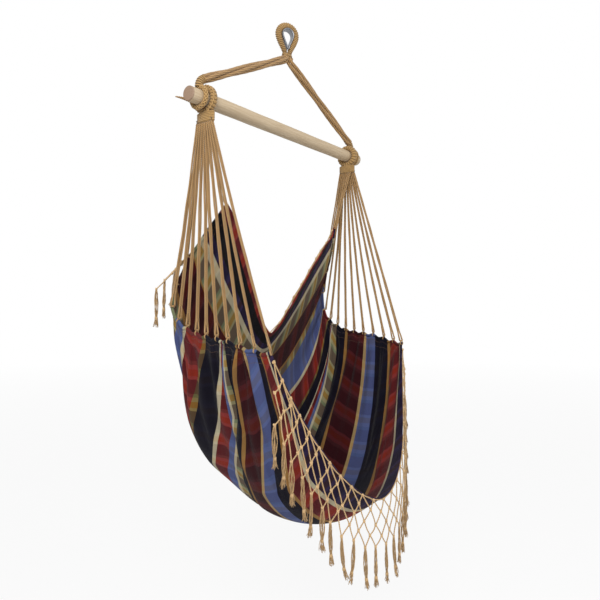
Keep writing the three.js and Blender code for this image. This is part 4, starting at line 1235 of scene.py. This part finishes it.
def end_hem(side):
    v = np.linspace(0, 1, HEM_STEPS + 1)
    _, _, centre = hem_frame(side, v)
    shape = sweep(centre, HEM_ROLL, 12)
    edge_across = weave_across[:, -1 if side > 0 else 0].mean()
    around = np.tile(np.arange(12) / 12 * 2 * math.pi * HEM_ROLL, len(v))
    shape["uvs"] = np.stack([edge_across + around, np.repeat(flat_along(side, v), 12)], -1)
    return shape


def hem_stitches(side):
    half_length = np.abs(weave_across[:, -1]).mean()
    end_length = lengths_along(seat_point(side, row_v))[-1]
    shapes = []
    bow = STITCH_THREAD * np.sin(np.linspace(0, math.pi, 5))
    arch = (CLOTH_SHEET / 2 + bow - STITCH_SUNK)[:, None]
    for inset in STITCH_LINES:
        u = side * (1 - inset / half_length)
        for number in range(int(end_length / STITCH_REPEAT)):
            start = (number + 0.25) * STITCH_REPEAT / end_length
            v = start + np.linspace(0, 1, 5) * STITCH / end_length
            point, normal = on_cloth(np.full(5, u), v)
            shapes.append(sweep(point + normal * arch, STITCH_THREAD, 5))
            shapes.append(sweep(point - normal * arch, STITCH_THREAD, 5))
    return shapes


hem_pieces = []
for side_name, side in SIDES:
    hem = add_piece(f"{side_name}_rolled_hem", [end_hem(side)], striped_cotton, "seat",
                    [f"{side_name}_end_hem"], layer_name="weave")
    stitches = add_piece(f"{side_name}_hem_stitches", hem_stitches(side), hem_thread,
                         "seat")
    hem_pieces += [hem, stitches]
print("hems:", [o.name for o in hem_pieces])

# %% [markdown]
# ## Front and back edges
# The long edges are turned over once, and the head of the fringe is tied through them. A fold
# modelled in the sheet would be too small to see, so a thin roll along each edge stands for it.

# %% Long edges
EDGE_ROLL = 0.0023
INSIDE_EDGE = 0.999


def long_edge(v):
    u = np.linspace(-1, 1, 180)
    point, _ = on_cloth(u, np.full(len(u), v))
    shape = sweep(point, EDGE_ROLL, 8)
    across = np.interp(u, column_u, weave_across[0 if v == 0 else -1])
    shape["uvs"] = np.stack([np.repeat(across, 8), np.repeat(flat_along(u, v), 8) * INSIDE_EDGE], -1)
    return shape


for edge_name, v in (("back", 0), ("front", 1)):
    hem_pieces.append(add_piece(f"{edge_name}_turned_edge", [long_edge(v)], striped_cotton, "seat",
                                layer_name="weave"))
print("pieces sewn to the cloth so far:", len(hem_pieces))

# %% [markdown]
# ## Suspension cords
# Each of the fourteen cords a side comes down from the bound neck, goes round a small loop of
# thread on the hem, and goes back up. A simulated rope would hang about the same, but the legs
# are pulled nearly straight by the seat, so they are swept along a straight path with the waver
# and slight bow of soft cotton. A thread loop passes through the bight and round the rolled hem,
# which is what really holds the cloth.

# %% Suspension cords
INNER_ROW = 4
CORD = 0.0060
CORD_PITCH = 0.0066
BIGHT_WIDTH = 0.0120
BIGHT_RISE = 0.036
INNER_PITCH = 0.0136
INNER_SHIFT = 0.0040
INNER_INSET = 0.0076
OUTER_INSET = 0.0039
CORD_LAY = 0.017
LOOP_THREAD = 0.0009
CORD_BOW = 0.0045
CORD_WAVER = 0.0007
CORD_OUTWARD = 0.2
CORD_STEP = 0.0036
INTO_NECK = 0.010


def cord_top(side, number):
    """Where a cord leaves the neck, and which way its two legs lie."""
    top = np.array([side * SEAT_REACH, 0, BAR_Z - SEAT_NECK_DROP - SEAT_GAP])
    if number < INNER_ROW:
        top[0] -= side * INNER_INSET
        top[1] += INNER_PITCH * (number - (INNER_ROW - 1) / 2) + INNER_SHIFT
        return top, np.array([0.0, 1.0, 0.0])
    top[0] += side * OUTER_INSET
    top[1] += CORD_PITCH * ((CORDS_PER_SIDE - INNER_ROW - 1) / 2 - (number - INNER_ROW))
    return top, np.array([1.0, 0.0, 0.0])


def cord_frame(side, number):
    """A cord's two ends, and the directions that it runs and spreads in."""
    along, out, hem = (part[0] for part in hem_frame(side, number / ATTACHMENTS))
    top, pair = cord_top(side, number)
    pull = unit(top - hem)
    toward = unit(pull - np.dot(pull, along) * along + CORD_OUTWARD * out)
    foot = hem + toward * (HEM / 2 + 2 * SEAT_GAP + CORD / 2)
    up = unit(top - foot)
    spread = unit(np.cross(along, up))
    spread = spread if np.dot(spread, pair) > 0 else -spread
    return {"along": along, "hem": hem, "toward": toward, "foot": foot, "up": up,
            "spread": spread, "top": top, "pair": pair}


def leg(place, sign, turns, bow):
    """One leg of a cord, from inside the neck down to where it closes on the bight."""
    half = sign * CORD_PITCH / 2
    start = place["top"] + place["pair"] * half
    end = place["foot"] + place["up"] * BIGHT_RISE + place["spread"] * half
    count = max(int(np.linalg.norm(end - start) / CORD_STEP), 4)
    w = np.linspace(0, 1, count)[:, None]
    waver = CORD_WAVER * np.sin(2 * math.pi * (turns * w + turns)) * np.sin(math.pi * w)
    hung = start + (end - start) * w + place["spread"] * waver + bow * np.sin(math.pi * w)
    return np.vstack([start + INTO_NECK * UP, hung])


def doubled_cord(side, number):
    """One cord: down, round the bight and back up."""
    place = cord_frame(side, number)
    up, spread = place["up"], place["spread"]
    half = BIGHT_WIDTH / 2
    angles = np.linspace(0, math.pi, 11)[:, None]
    bight = place["foot"] + up * half + spread * half * np.cos(angles) - up * half * np.sin(angles)
    sideways, outward = chance.uniform(-1, 1, 2) * CORD_BOW
    bow = spread * sideways + np.cross(up, spread) * outward
    down = leg(place, 1, 1.3 + 0.31 * number, bow)
    back = leg(place, -1, 2.1 + 0.27 * number, bow)[::-1]
    path = np.vstack([down, (down[-1] + bight[0]) / 2, bight, (back[0] + bight[-1]) / 2, back])
    return laid_rope(path, CORD / 2, CORD_LAY, groove=0.3, start=number)


def thread_loops(side, number):
    """Two turns of thread round the hem and through the bight."""
    place = cord_frame(side, number)
    hem, foot, toward = place["hem"], place["foot"], place["toward"]
    across = unit(np.cross(place["along"], toward))
    centre = (hem + foot) / 2 + toward * (CORD / 2 - HEM / 2) / 2
    long_half = (np.linalg.norm(foot - hem) + HEM / 2 + CORD / 2) / 2 + LOOP_THREAD
    angles = round_angles(32)[:, None]
    wide = HEM_ROLL + LOOP_THREAD
    slim = 1 - 0.45 * np.clip(np.cos(angles), 0, 1)
    ring = centre + toward * long_half * np.cos(angles) + across * wide * np.sin(angles) * slim
    beside = place["along"] * 1.1 * LOOP_THREAD
    return [sweep(ring + shift, LOOP_THREAD, 6, closed=True) for shift in (-beside, beside)]


for side_name, side in SIDES:
    loops = []
    for number in range(CORDS_PER_SIDE):
        node = f"{side_name}_seat_cord_{number + 1}"
        add_piece(f"{node}_laid", [doubled_cord(side, number)], cord_cotton, "seat", [node])
        loops += thread_loops(side, number)
    hem_pieces.append(add_piece(f"{side_name}_thread_loops", loops, cord_cotton,
                                "seat"))
print("suspension cords:", 2 * CORDS_PER_SIDE)

# %% [markdown]
# ## Fringes
# The front and back edges carry a net of knotted diamonds, four rows deep, with a tassel on
# each foot. The knots sit where the frame has them: they hang below the front edge, and down
# over the outside of the back. Between knots the strands are two-ply twine, a little slack.
# A net could be a texture on a strip, but seen from the side it would be flat, so each strand,
# knot and tassel is its own shape.

# %% Fringe places
NET_THICKNESS = 0.0046
NET_STRAND = 0.044
NET_ROWS = 4
TASSEL = 0.118
TASSEL_WIDTH = 0.019
FRINGE_INSET = 0.012
FRONT_NET_GAP = 0.00084
BACK_NET_GAP = 0.00119
BACK_LIFT = 0.022
BACK_SIDE_LIFT = 0.048
BACK_SPREAD = 0.06
BACK_SLOPE = 0.94
BACK_WRAP = 3
BACK_BLEND = 7
BACK_WRAP_SHARE = 0.085
BACK_HANG = (0.45, 0.85, 0.9)
STEP = 0.02
BACK_STEP = 0.004
BACK_TRIES = 12


def fringe_u(k):
    """The u of the front fringe's column k."""
    return (1 - FRINGE_INSET / CLOTH_HALF_SPREAD) * (2 * k / CLOTH_COLUMNS - 1)


def frame_from(across, up):
    """Three directions square to each other: right, up and out of the face."""
    right = unit(across)
    face = unit(np.cross(right, up))
    return {"right": right, "up": unit(np.cross(face, right)), "face": face}


def cloth_at(u, v):
    return on_cloth(np.array([u]), np.array([float(v)]))[0][0]


def bare_at(u, v):
    return smooth_seat(np.array([u]), np.array([float(v)]))[0]


def front_place(k, row, drop):
    """A knot of the front fringe, drop below the edge, and the directions of the net there."""
    u = fringe_u(k)
    edge = cloth_at(u, 1)
    ahead = cloth_at(min(u + STEP, 1), 1) - cloth_at(max(u - STEP, -1), 1)
    if row == 0:
        net = frame_from(ahead, edge - cloth_at(u, 1 - STEP))
        return edge + net["face"] * (CLOTH_THICKNESS / 2 + NET_THICKNESS / 2 + FRONT_NET_GAP), net
    net = frame_from(ahead * (1, 1, 0), UP)
    return edge + net["face"] * (CLOTH_THICKNESS / 2 + 2 * NET_THICKNESS) - drop * UP, net


def back_at(x, z, u, v):
    """The u and v of the back's point at a given x and z, closed in on from a first guess."""
    for _ in range(BACK_TRIES):
        inward = -BACK_STEP if u >= 0 else BACK_STEP
        here = bare_at(u, v)
        du = bare_at(u + inward, v) - here
        dv = bare_at(u, v + BACK_STEP) - here
        miss_x, miss_z = x - here[0], z - here[2]
        scale = du[0] * dv[2] - dv[0] * du[2]
        u = float(np.clip(u + inward * (miss_x * dv[2] - dv[0] * miss_z) / scale, -1, 1))
        v = float(np.clip(v + BACK_STEP * (du[0] * miss_z - miss_x * du[2]) / scale, 0, 0.6))
    return u, v


def back_edge_at(k):
    """Where column k of the back fringe starts. Its last columns go round the corner to the hem."""
    from_end = min(k, CLOTH_COLUMNS - k)
    reach = 1 - FRINGE_INSET / CLOTH_HALF_SPREAD
    across = (1 - 2 * k / CLOTH_COLUMNS) * reach / (1 - 2 * BACK_WRAP / CLOTH_COLUMNS)
    return float(np.clip(across, -reach, reach)), BACK_WRAP_SHARE * max(1 - from_end / BACK_WRAP, 0)


def back_place(k, row, drop):
    """The back fringe hangs down over the outside of the back, and free at its ends."""
    edge_u, edge_v = back_edge_at(k)
    edge = bare_at(edge_u, edge_v)
    share = drop / (NET_ROWS * NET_STRAND)
    u, v = edge_u, edge_v
    if row:
        x, z = edge[0] * (1 + BACK_SPREAD * share), edge[2] - drop * BACK_SLOPE
        u, v = back_at(x, z, edge_u, edge_v + share * 0.2)
    ahead = bare_at(max(u - STEP, -1), v) - bare_at(min(u + STEP, 1), v)
    slope = bare_at(u, v) - bare_at(u, v + STEP)
    face = unit(np.cross(ahead, slope))
    stand = (BACK_LIFT + (BACK_SIDE_LIFT - BACK_LIFT) * abs(edge_u) ** 3) * math.sqrt(share)
    lift = CLOTH_THICKNESS / 2 + NET_THICKNESS / 2 + BACK_NET_GAP + stand
    point = bare_at(u, v) + face * lift + cloth_at(edge_u, edge_v) - edge
    return (point, frame_from(ahead, slope)) if row == 0 else hang_free(k, drop, point, face)


def hang_free(k, drop, point, face):
    """Eases a knot near an end of the back fringe off the cloth, so that it hangs from the edge."""
    edge_u, _ = back_edge_at(k)
    ease = np.clip(1 - min(k, CLOTH_COLUMNS - k) / BACK_BLEND, 0, 1)
    free = ease * ease * (3 - 2 * ease)
    aside = math.copysign(BACK_HANG[0], edge_u)
    hung = back_place(k, 0, 0)[0] + drop * np.array([aside, BACK_HANG[1], -BACK_HANG[2]])
    outward = unit(face + (unit([aside, BACK_HANG[1], 0]) - face) * free)
    right = unit([-outward[1], outward[0], 0])
    net = {"right": right, "up": unit(np.cross(outward, right)), "face": outward}
    return point + (hung - point) * free, net


def net_drop(place, k, row):
    """Strands keep their length, so the net is deeper where its columns crowd."""
    if row == 0:
        return 0.0
    low, high = max(k - 0.5, 0), min(k + 0.5, CLOTH_COLUMNS)
    gap = (place(high, 0, 0)[0] - place(low, 0, 0)[0]) * (1, 1, 0)
    level = np.linalg.norm(gap) / (high - low) / 2
    return row * math.sqrt(max(NET_STRAND**2 - level**2, (NET_STRAND / 3) ** 2))


# %% Net and knots
NET_TWINE = 0.0021
NET_LAY = 0.012
NET_STEP = 0.0032
NET_SWAY = 0.0011
NET_SAG = 0.0008
NET_LOOSE = 0.0026
KNOT_SIZE = 0.0040
KNOT_TWINE = 0.0017


def loosened(point, net, amount):
    """A knot a little off its place, as hand-tied knots are."""
    off = chance.normal(0, 1, 2) * amount
    return point + net["right"] * off[0] + net["up"] * off[1], net


def net_strand(start, end, face):
    """A slack two-ply strand between two knots."""
    across = unit(np.cross(end - start, face))
    sway = chance.normal(0, NET_SWAY, 2)
    middle = (start + end) / 2 + face * sway[0] + across * sway[1] - NET_SAG * UP
    path = smooth_path([start, middle, end], NET_STEP)
    return laid_rope(path, NET_TWINE, NET_LAY, plies=2, sides=8, groove=0.3, start=chance.uniform(0, 6))


def knot(point, net):
    """A tight overhand knot: a three-lobed loop of twine."""
    t = np.linspace(0, 2 * math.pi, 31)[:-1, None] + chance.uniform(0, 6)
    x = (np.sin(t) + 2 * np.sin(2 * t)) / 3
    y = (np.cos(t) - 2 * np.cos(2 * t)) / 3
    z = -np.sin(3 * t) * 0.42
    path = point + KNOT_SIZE * (net["right"] * x + net["up"] * y + net["face"] * z)
    return sweep(path, KNOT_TWINE, 6, closed=True)


# %% [markdown]
# ## Tassels
# A tassel is four slack cords of yarn that hang from a knot. A coil of twine binds them low
# down, and below it the yarns are cut and spread like a small brush. Hair curves would give
# many more yarns, but twenty laid ones are as many as can be told apart from where the camera
# stands. Each yarn has its own length and wave, and each tassel leans a little its own way.

# %% Tassels
TASSEL_STRANDS = 20
TASSEL_YARN = 0.0012
TASSEL_CORDS = 4
TASSEL_LEAN = 0.005
# how wide a tassel is, as a share of TASSEL_WIDTH, from its knot at 0 to its cut end at 1
TASSEL_SHAPE = [
    (0, 0.10), (0.12, 0.40), (0.36, 0.60), (0.6, 0.50),
    (0.745, 0.22), (0.80, 0.5), (0.9, 0.84), (1, 1.0),
]
TASSEL_STATIONS = np.linspace(0, 1, 17)
CORD_OF_YARNS = 0.0013
YARN_LAY = 0.03
YARN_WAVE = 0.0014
BINDING_AT = 0.75
BINDING_TURNS = 5
BINDING_PITCH = 0.0016
BINDING_TWINE = 0.0009
BINDING_WIDTH_SHARE = 0.26


def yarn_path(net, half, turn):
    """One yarn from its knot down: bound into its cord, then loose below the binding."""
    down = TASSEL_STATIONS
    angle = chance.uniform(0, 2 * math.pi)
    reach = math.sqrt(chance.uniform(0.02, 1))
    length = TASSEL * chance.uniform(0.9, 1.0)
    waves = chance.normal(0, YARN_WAVE, 2)
    phases = chance.uniform(0, 6, 2)
    loose = np.clip((down - BINDING_AT) / (1 - BINDING_AT), 0, 1)
    offsets = []
    for wave, phase, part in zip(waves, phases, (np.cos, np.sin)):
        bound = half * part(turn) + CORD_OF_YARNS * part(angle + 9 * down)
        spread = half * reach * part(angle) + wave * np.sin(9 * down + phase)
        offsets.append((bound * (1 - loose) + spread * loose)[:, None])
    path = net["right"] * offsets[0] + net["face"] * 0.8 * offsets[1]
    return path - net["up"] * (down * length)[:, None], angle


def binding(centre, net):
    """The coil of twine that holds a tassel's cords together."""
    turns = np.linspace(0, 2 * math.pi * BINDING_TURNS, 15 * BINDING_TURNS)[:, None]
    reach = BINDING_WIDTH_SHARE * TASSEL_WIDTH / 2 + TASSEL_YARN
    drop = TASSEL * BINDING_AT + BINDING_PITCH * (turns / math.pi / 2 - BINDING_TURNS / 2)
    sideways = net["right"] * np.cos(turns) + net["face"] * np.sin(turns)
    return sweep(centre - net["up"] * drop + sideways * reach, BINDING_TWINE, 5)


def tassel(point, net):
    """Four cords of yarn that hang from a knot, bound low down, with cut ends that spread."""
    down = TASSEL_STATIONS
    opened = 1 + (chance.uniform(0.55, 1.25) - 1) * np.clip(2 - 3 * down, 0, 1)
    half = np.interp(down, *zip(*TASSEL_SHAPE)) * TASSEL_WIDTH / 2 * opened
    right, out = chance.normal(0, TASSEL_LEAN, 2)
    lean = net["right"] * right + net["face"] * abs(out)
    first, twist = chance.uniform(0, 6), chance.uniform(0.6, 3.2)
    shapes = []
    for number in range(TASSEL_STRANDS):
        cord = 2 * math.pi * (number % TASSEL_CORDS) / TASSEL_CORDS + first
        path, angle = yarn_path(net, half, cord + twist * down)
        shapes.append(laid_rope(point + lean * down[:, None] ** 2 + path, TASSEL_YARN * (1 - 0.25 * down),
                                YARN_LAY, plies=2, sides=6, groove=0.25, start=angle))
    return shapes + [binding(point + lean * BINDING_AT**2, net)]


# %% [markdown]
# ## Tying the fringes
# Both fringes are tied in the same way, and only the places of their knots differ. The knots
# on the edge are tied through the cloth and stay where they are. Those below are a little off
# their places, as hand-tied knots are, so no two diamonds are quite alike.

# %% Tie the fringes
def net_links():
    """Which knots the strands join: those along the edge, then the rows of diamonds."""
    links = [((0, i), (0, i + 1)) for i in range(CLOTH_COLUMNS)]
    for row in range(NET_ROWS):
        for i in range(CLOTH_COLUMNS):
            second = ((row, i + 1), (row + 1, i)) if row % 2 == 0 else ((row, i), (row + 1, i + 1))
            links += [((row, i), (row + 1, i)), second]
    return links


def fringe(place):
    """All strands, knots and tassels of one fringe, whose knots are where place puts them."""
    rows = []
    for row in range(NET_ROWS + 1):
        count = CLOTH_COLUMNS + (row % 2 == 0)
        ks = [i + 0.5 * (row % 2) for i in range(count)]
        rows.append([loosened(*place(k, row, net_drop(place, k, row)), NET_LOOSE * (row > 0)) for k in ks])
    shapes = []
    for (row_a, a), (row_b, b) in net_links():
        start, net = rows[row_a][a]
        shapes.append(net_strand(start, rows[row_b][b][0], net["face"]))
    for row in rows:
        shapes += [knot(point, net) for point, net in row]
    for point, net in rows[-1]:
        shapes += tassel(point, net)
    return shapes


for edge_name, place in (("front", front_place), ("back", back_place)):
    shapes = fringe(place)
    add_piece(f"{edge_name}_knotted_fringe", shapes, fringe_cotton,
                                   "seat", [f"{edge_name}_fringe"])
    print(edge_name, "fringe:", len(shapes), "strands, knots and yarns")

# %% [markdown]
# ## The sheet's real size
# The seat is one woven sheet, gathered between the cords. Its flat size is what was measured
# along it above.

# %% [markdown]
# ## Studio
# A pale floor well below the chair, one large soft lamp on the camera's left, a weaker one on
# its right, and an even white world. The lamps stay at a level where a colour renders about as
# it is written. The background is full white for the camera and for reflections, and it lights
# the chair at WORLD_LIGHT of that strength. The floor fades to the same white with distance, so
# no horizon shows, and it keeps the chair's soft shadow.

# %% Studio
FLOOR_Z = cad_low.z - 0.35
FLOOR_HALF = 100
FLOOR_DARK = (0.88, 0.88, 0.88, 1)
FLOOR_PALE = (0.92, 0.92, 0.92, 1)
WHITE = (1, 1, 1, 1)
WHITE_FROM = 14
NEAR_WHITE = 0.84
WORLD_LIGHT = 0.54
KEY_PLACE = (-2.4, -1.6, 0.6)
KEY_SIZE = 1.8
KEY_WATTS = 76
FILL_PLACE = (1.2, -2.8, 0.2)
FILL_SIZE = 1.6
FILL_WATTS = 14


def seen_share(tree):
    """1 for rays from the camera, in mirrors and through glass, and 0 for light."""
    path = add_node(tree, "LightPath")
    seen = math_node(tree, "MAXIMUM", path.outputs["Is Camera Ray"], path.outputs["Is Glossy Ray"])
    return math_node(tree, "MAXIMUM", seen, path.outputs["Is Transmission Ray"])


def white_world():
    world = bpy.data.worlds.new("studio")
    bpy.context.scene.world = world
    world.use_nodes = True
    tree = world.node_tree
    background = tree.nodes["Background"]
    background.inputs["Color"].default_value = WHITE
    strength = scaled(tree, seen_share(tree), 1 - WORLD_LIGHT, WORLD_LIGHT)
    tree.links.new(strength, background.inputs["Strength"])


def pale_floor():
    """A floor that takes the shadow, and that the camera sees fade to white with distance."""
    mesh = bpy.data.meshes.new("studio_floor")
    signs = ((-1, -1), (1, -1), (1, 1), (-1, 1))
    mesh.from_pydata([(FLOOR_HALF * x, FLOOR_HALF * y, FLOOR_Z) for x, y in signs], [], [(0, 1, 2, 3)])
    floor = link_object("studio_floor", mesh)
    material, tree, shader = start_material("studio_floor", roughness=0.9)
    place = object_place(tree)
    pale = mix_colours(tree, noise(tree, place, 8.0), FLOOR_DARK, FLOOR_PALE)
    tree.links.new(pale, shader.inputs["Base Color"])
    glow = add_node(tree, "Emission", {"Color": WHITE, "Strength": 1.0})
    away = add_node(tree, "VectorMath", {0: place}, operation="LENGTH").outputs["Value"]
    far = math_node(tree, "MINIMUM", math_node(tree, "DIVIDE", away, WHITE_FROM), 1.0)
    white = scaled(tree, far, 1 - NEAR_WHITE, NEAR_WHITE)
    share = math_node(tree, "MULTIPLY", seen_share(tree), white)
    blend = add_node(tree, "MixShader", {"Fac": share})
    tree.links.new(shader.outputs["BSDF"], blend.inputs[1])
    tree.links.new(glow.outputs["Emission"], blend.inputs[2])
    tree.links.new(blend.outputs["Shader"], tree.nodes["Material Output"].inputs["Surface"])
    mesh.materials.append(material)


def soft_lamp(name, place, aim, size, watts):
    data = bpy.data.lights.new(name, "AREA")
    data.size = size
    data.energy = watts
    lamp = link_object(name, data)
    lamp.location = place
    lamp.rotation_euler = (Vector(aim) - Vector(place)).to_track_quat("-Z", "Y").to_euler()


bpy.context.scene.view_settings.view_transform = "Standard"
white_world()
pale_floor()
middle = (cad_low + cad_high) / 2
soft_lamp("key_lamp", KEY_PLACE, middle, KEY_SIZE, KEY_WATTS)
soft_lamp("fill_lamp", FILL_PLACE, middle, FILL_SIZE, FILL_WATTS)
print("floor", round(cad_low.z - FLOOR_Z, 2), "m below the chair")
print("lamps of", KEY_WATTS, "and", FILL_WATTS, "W")
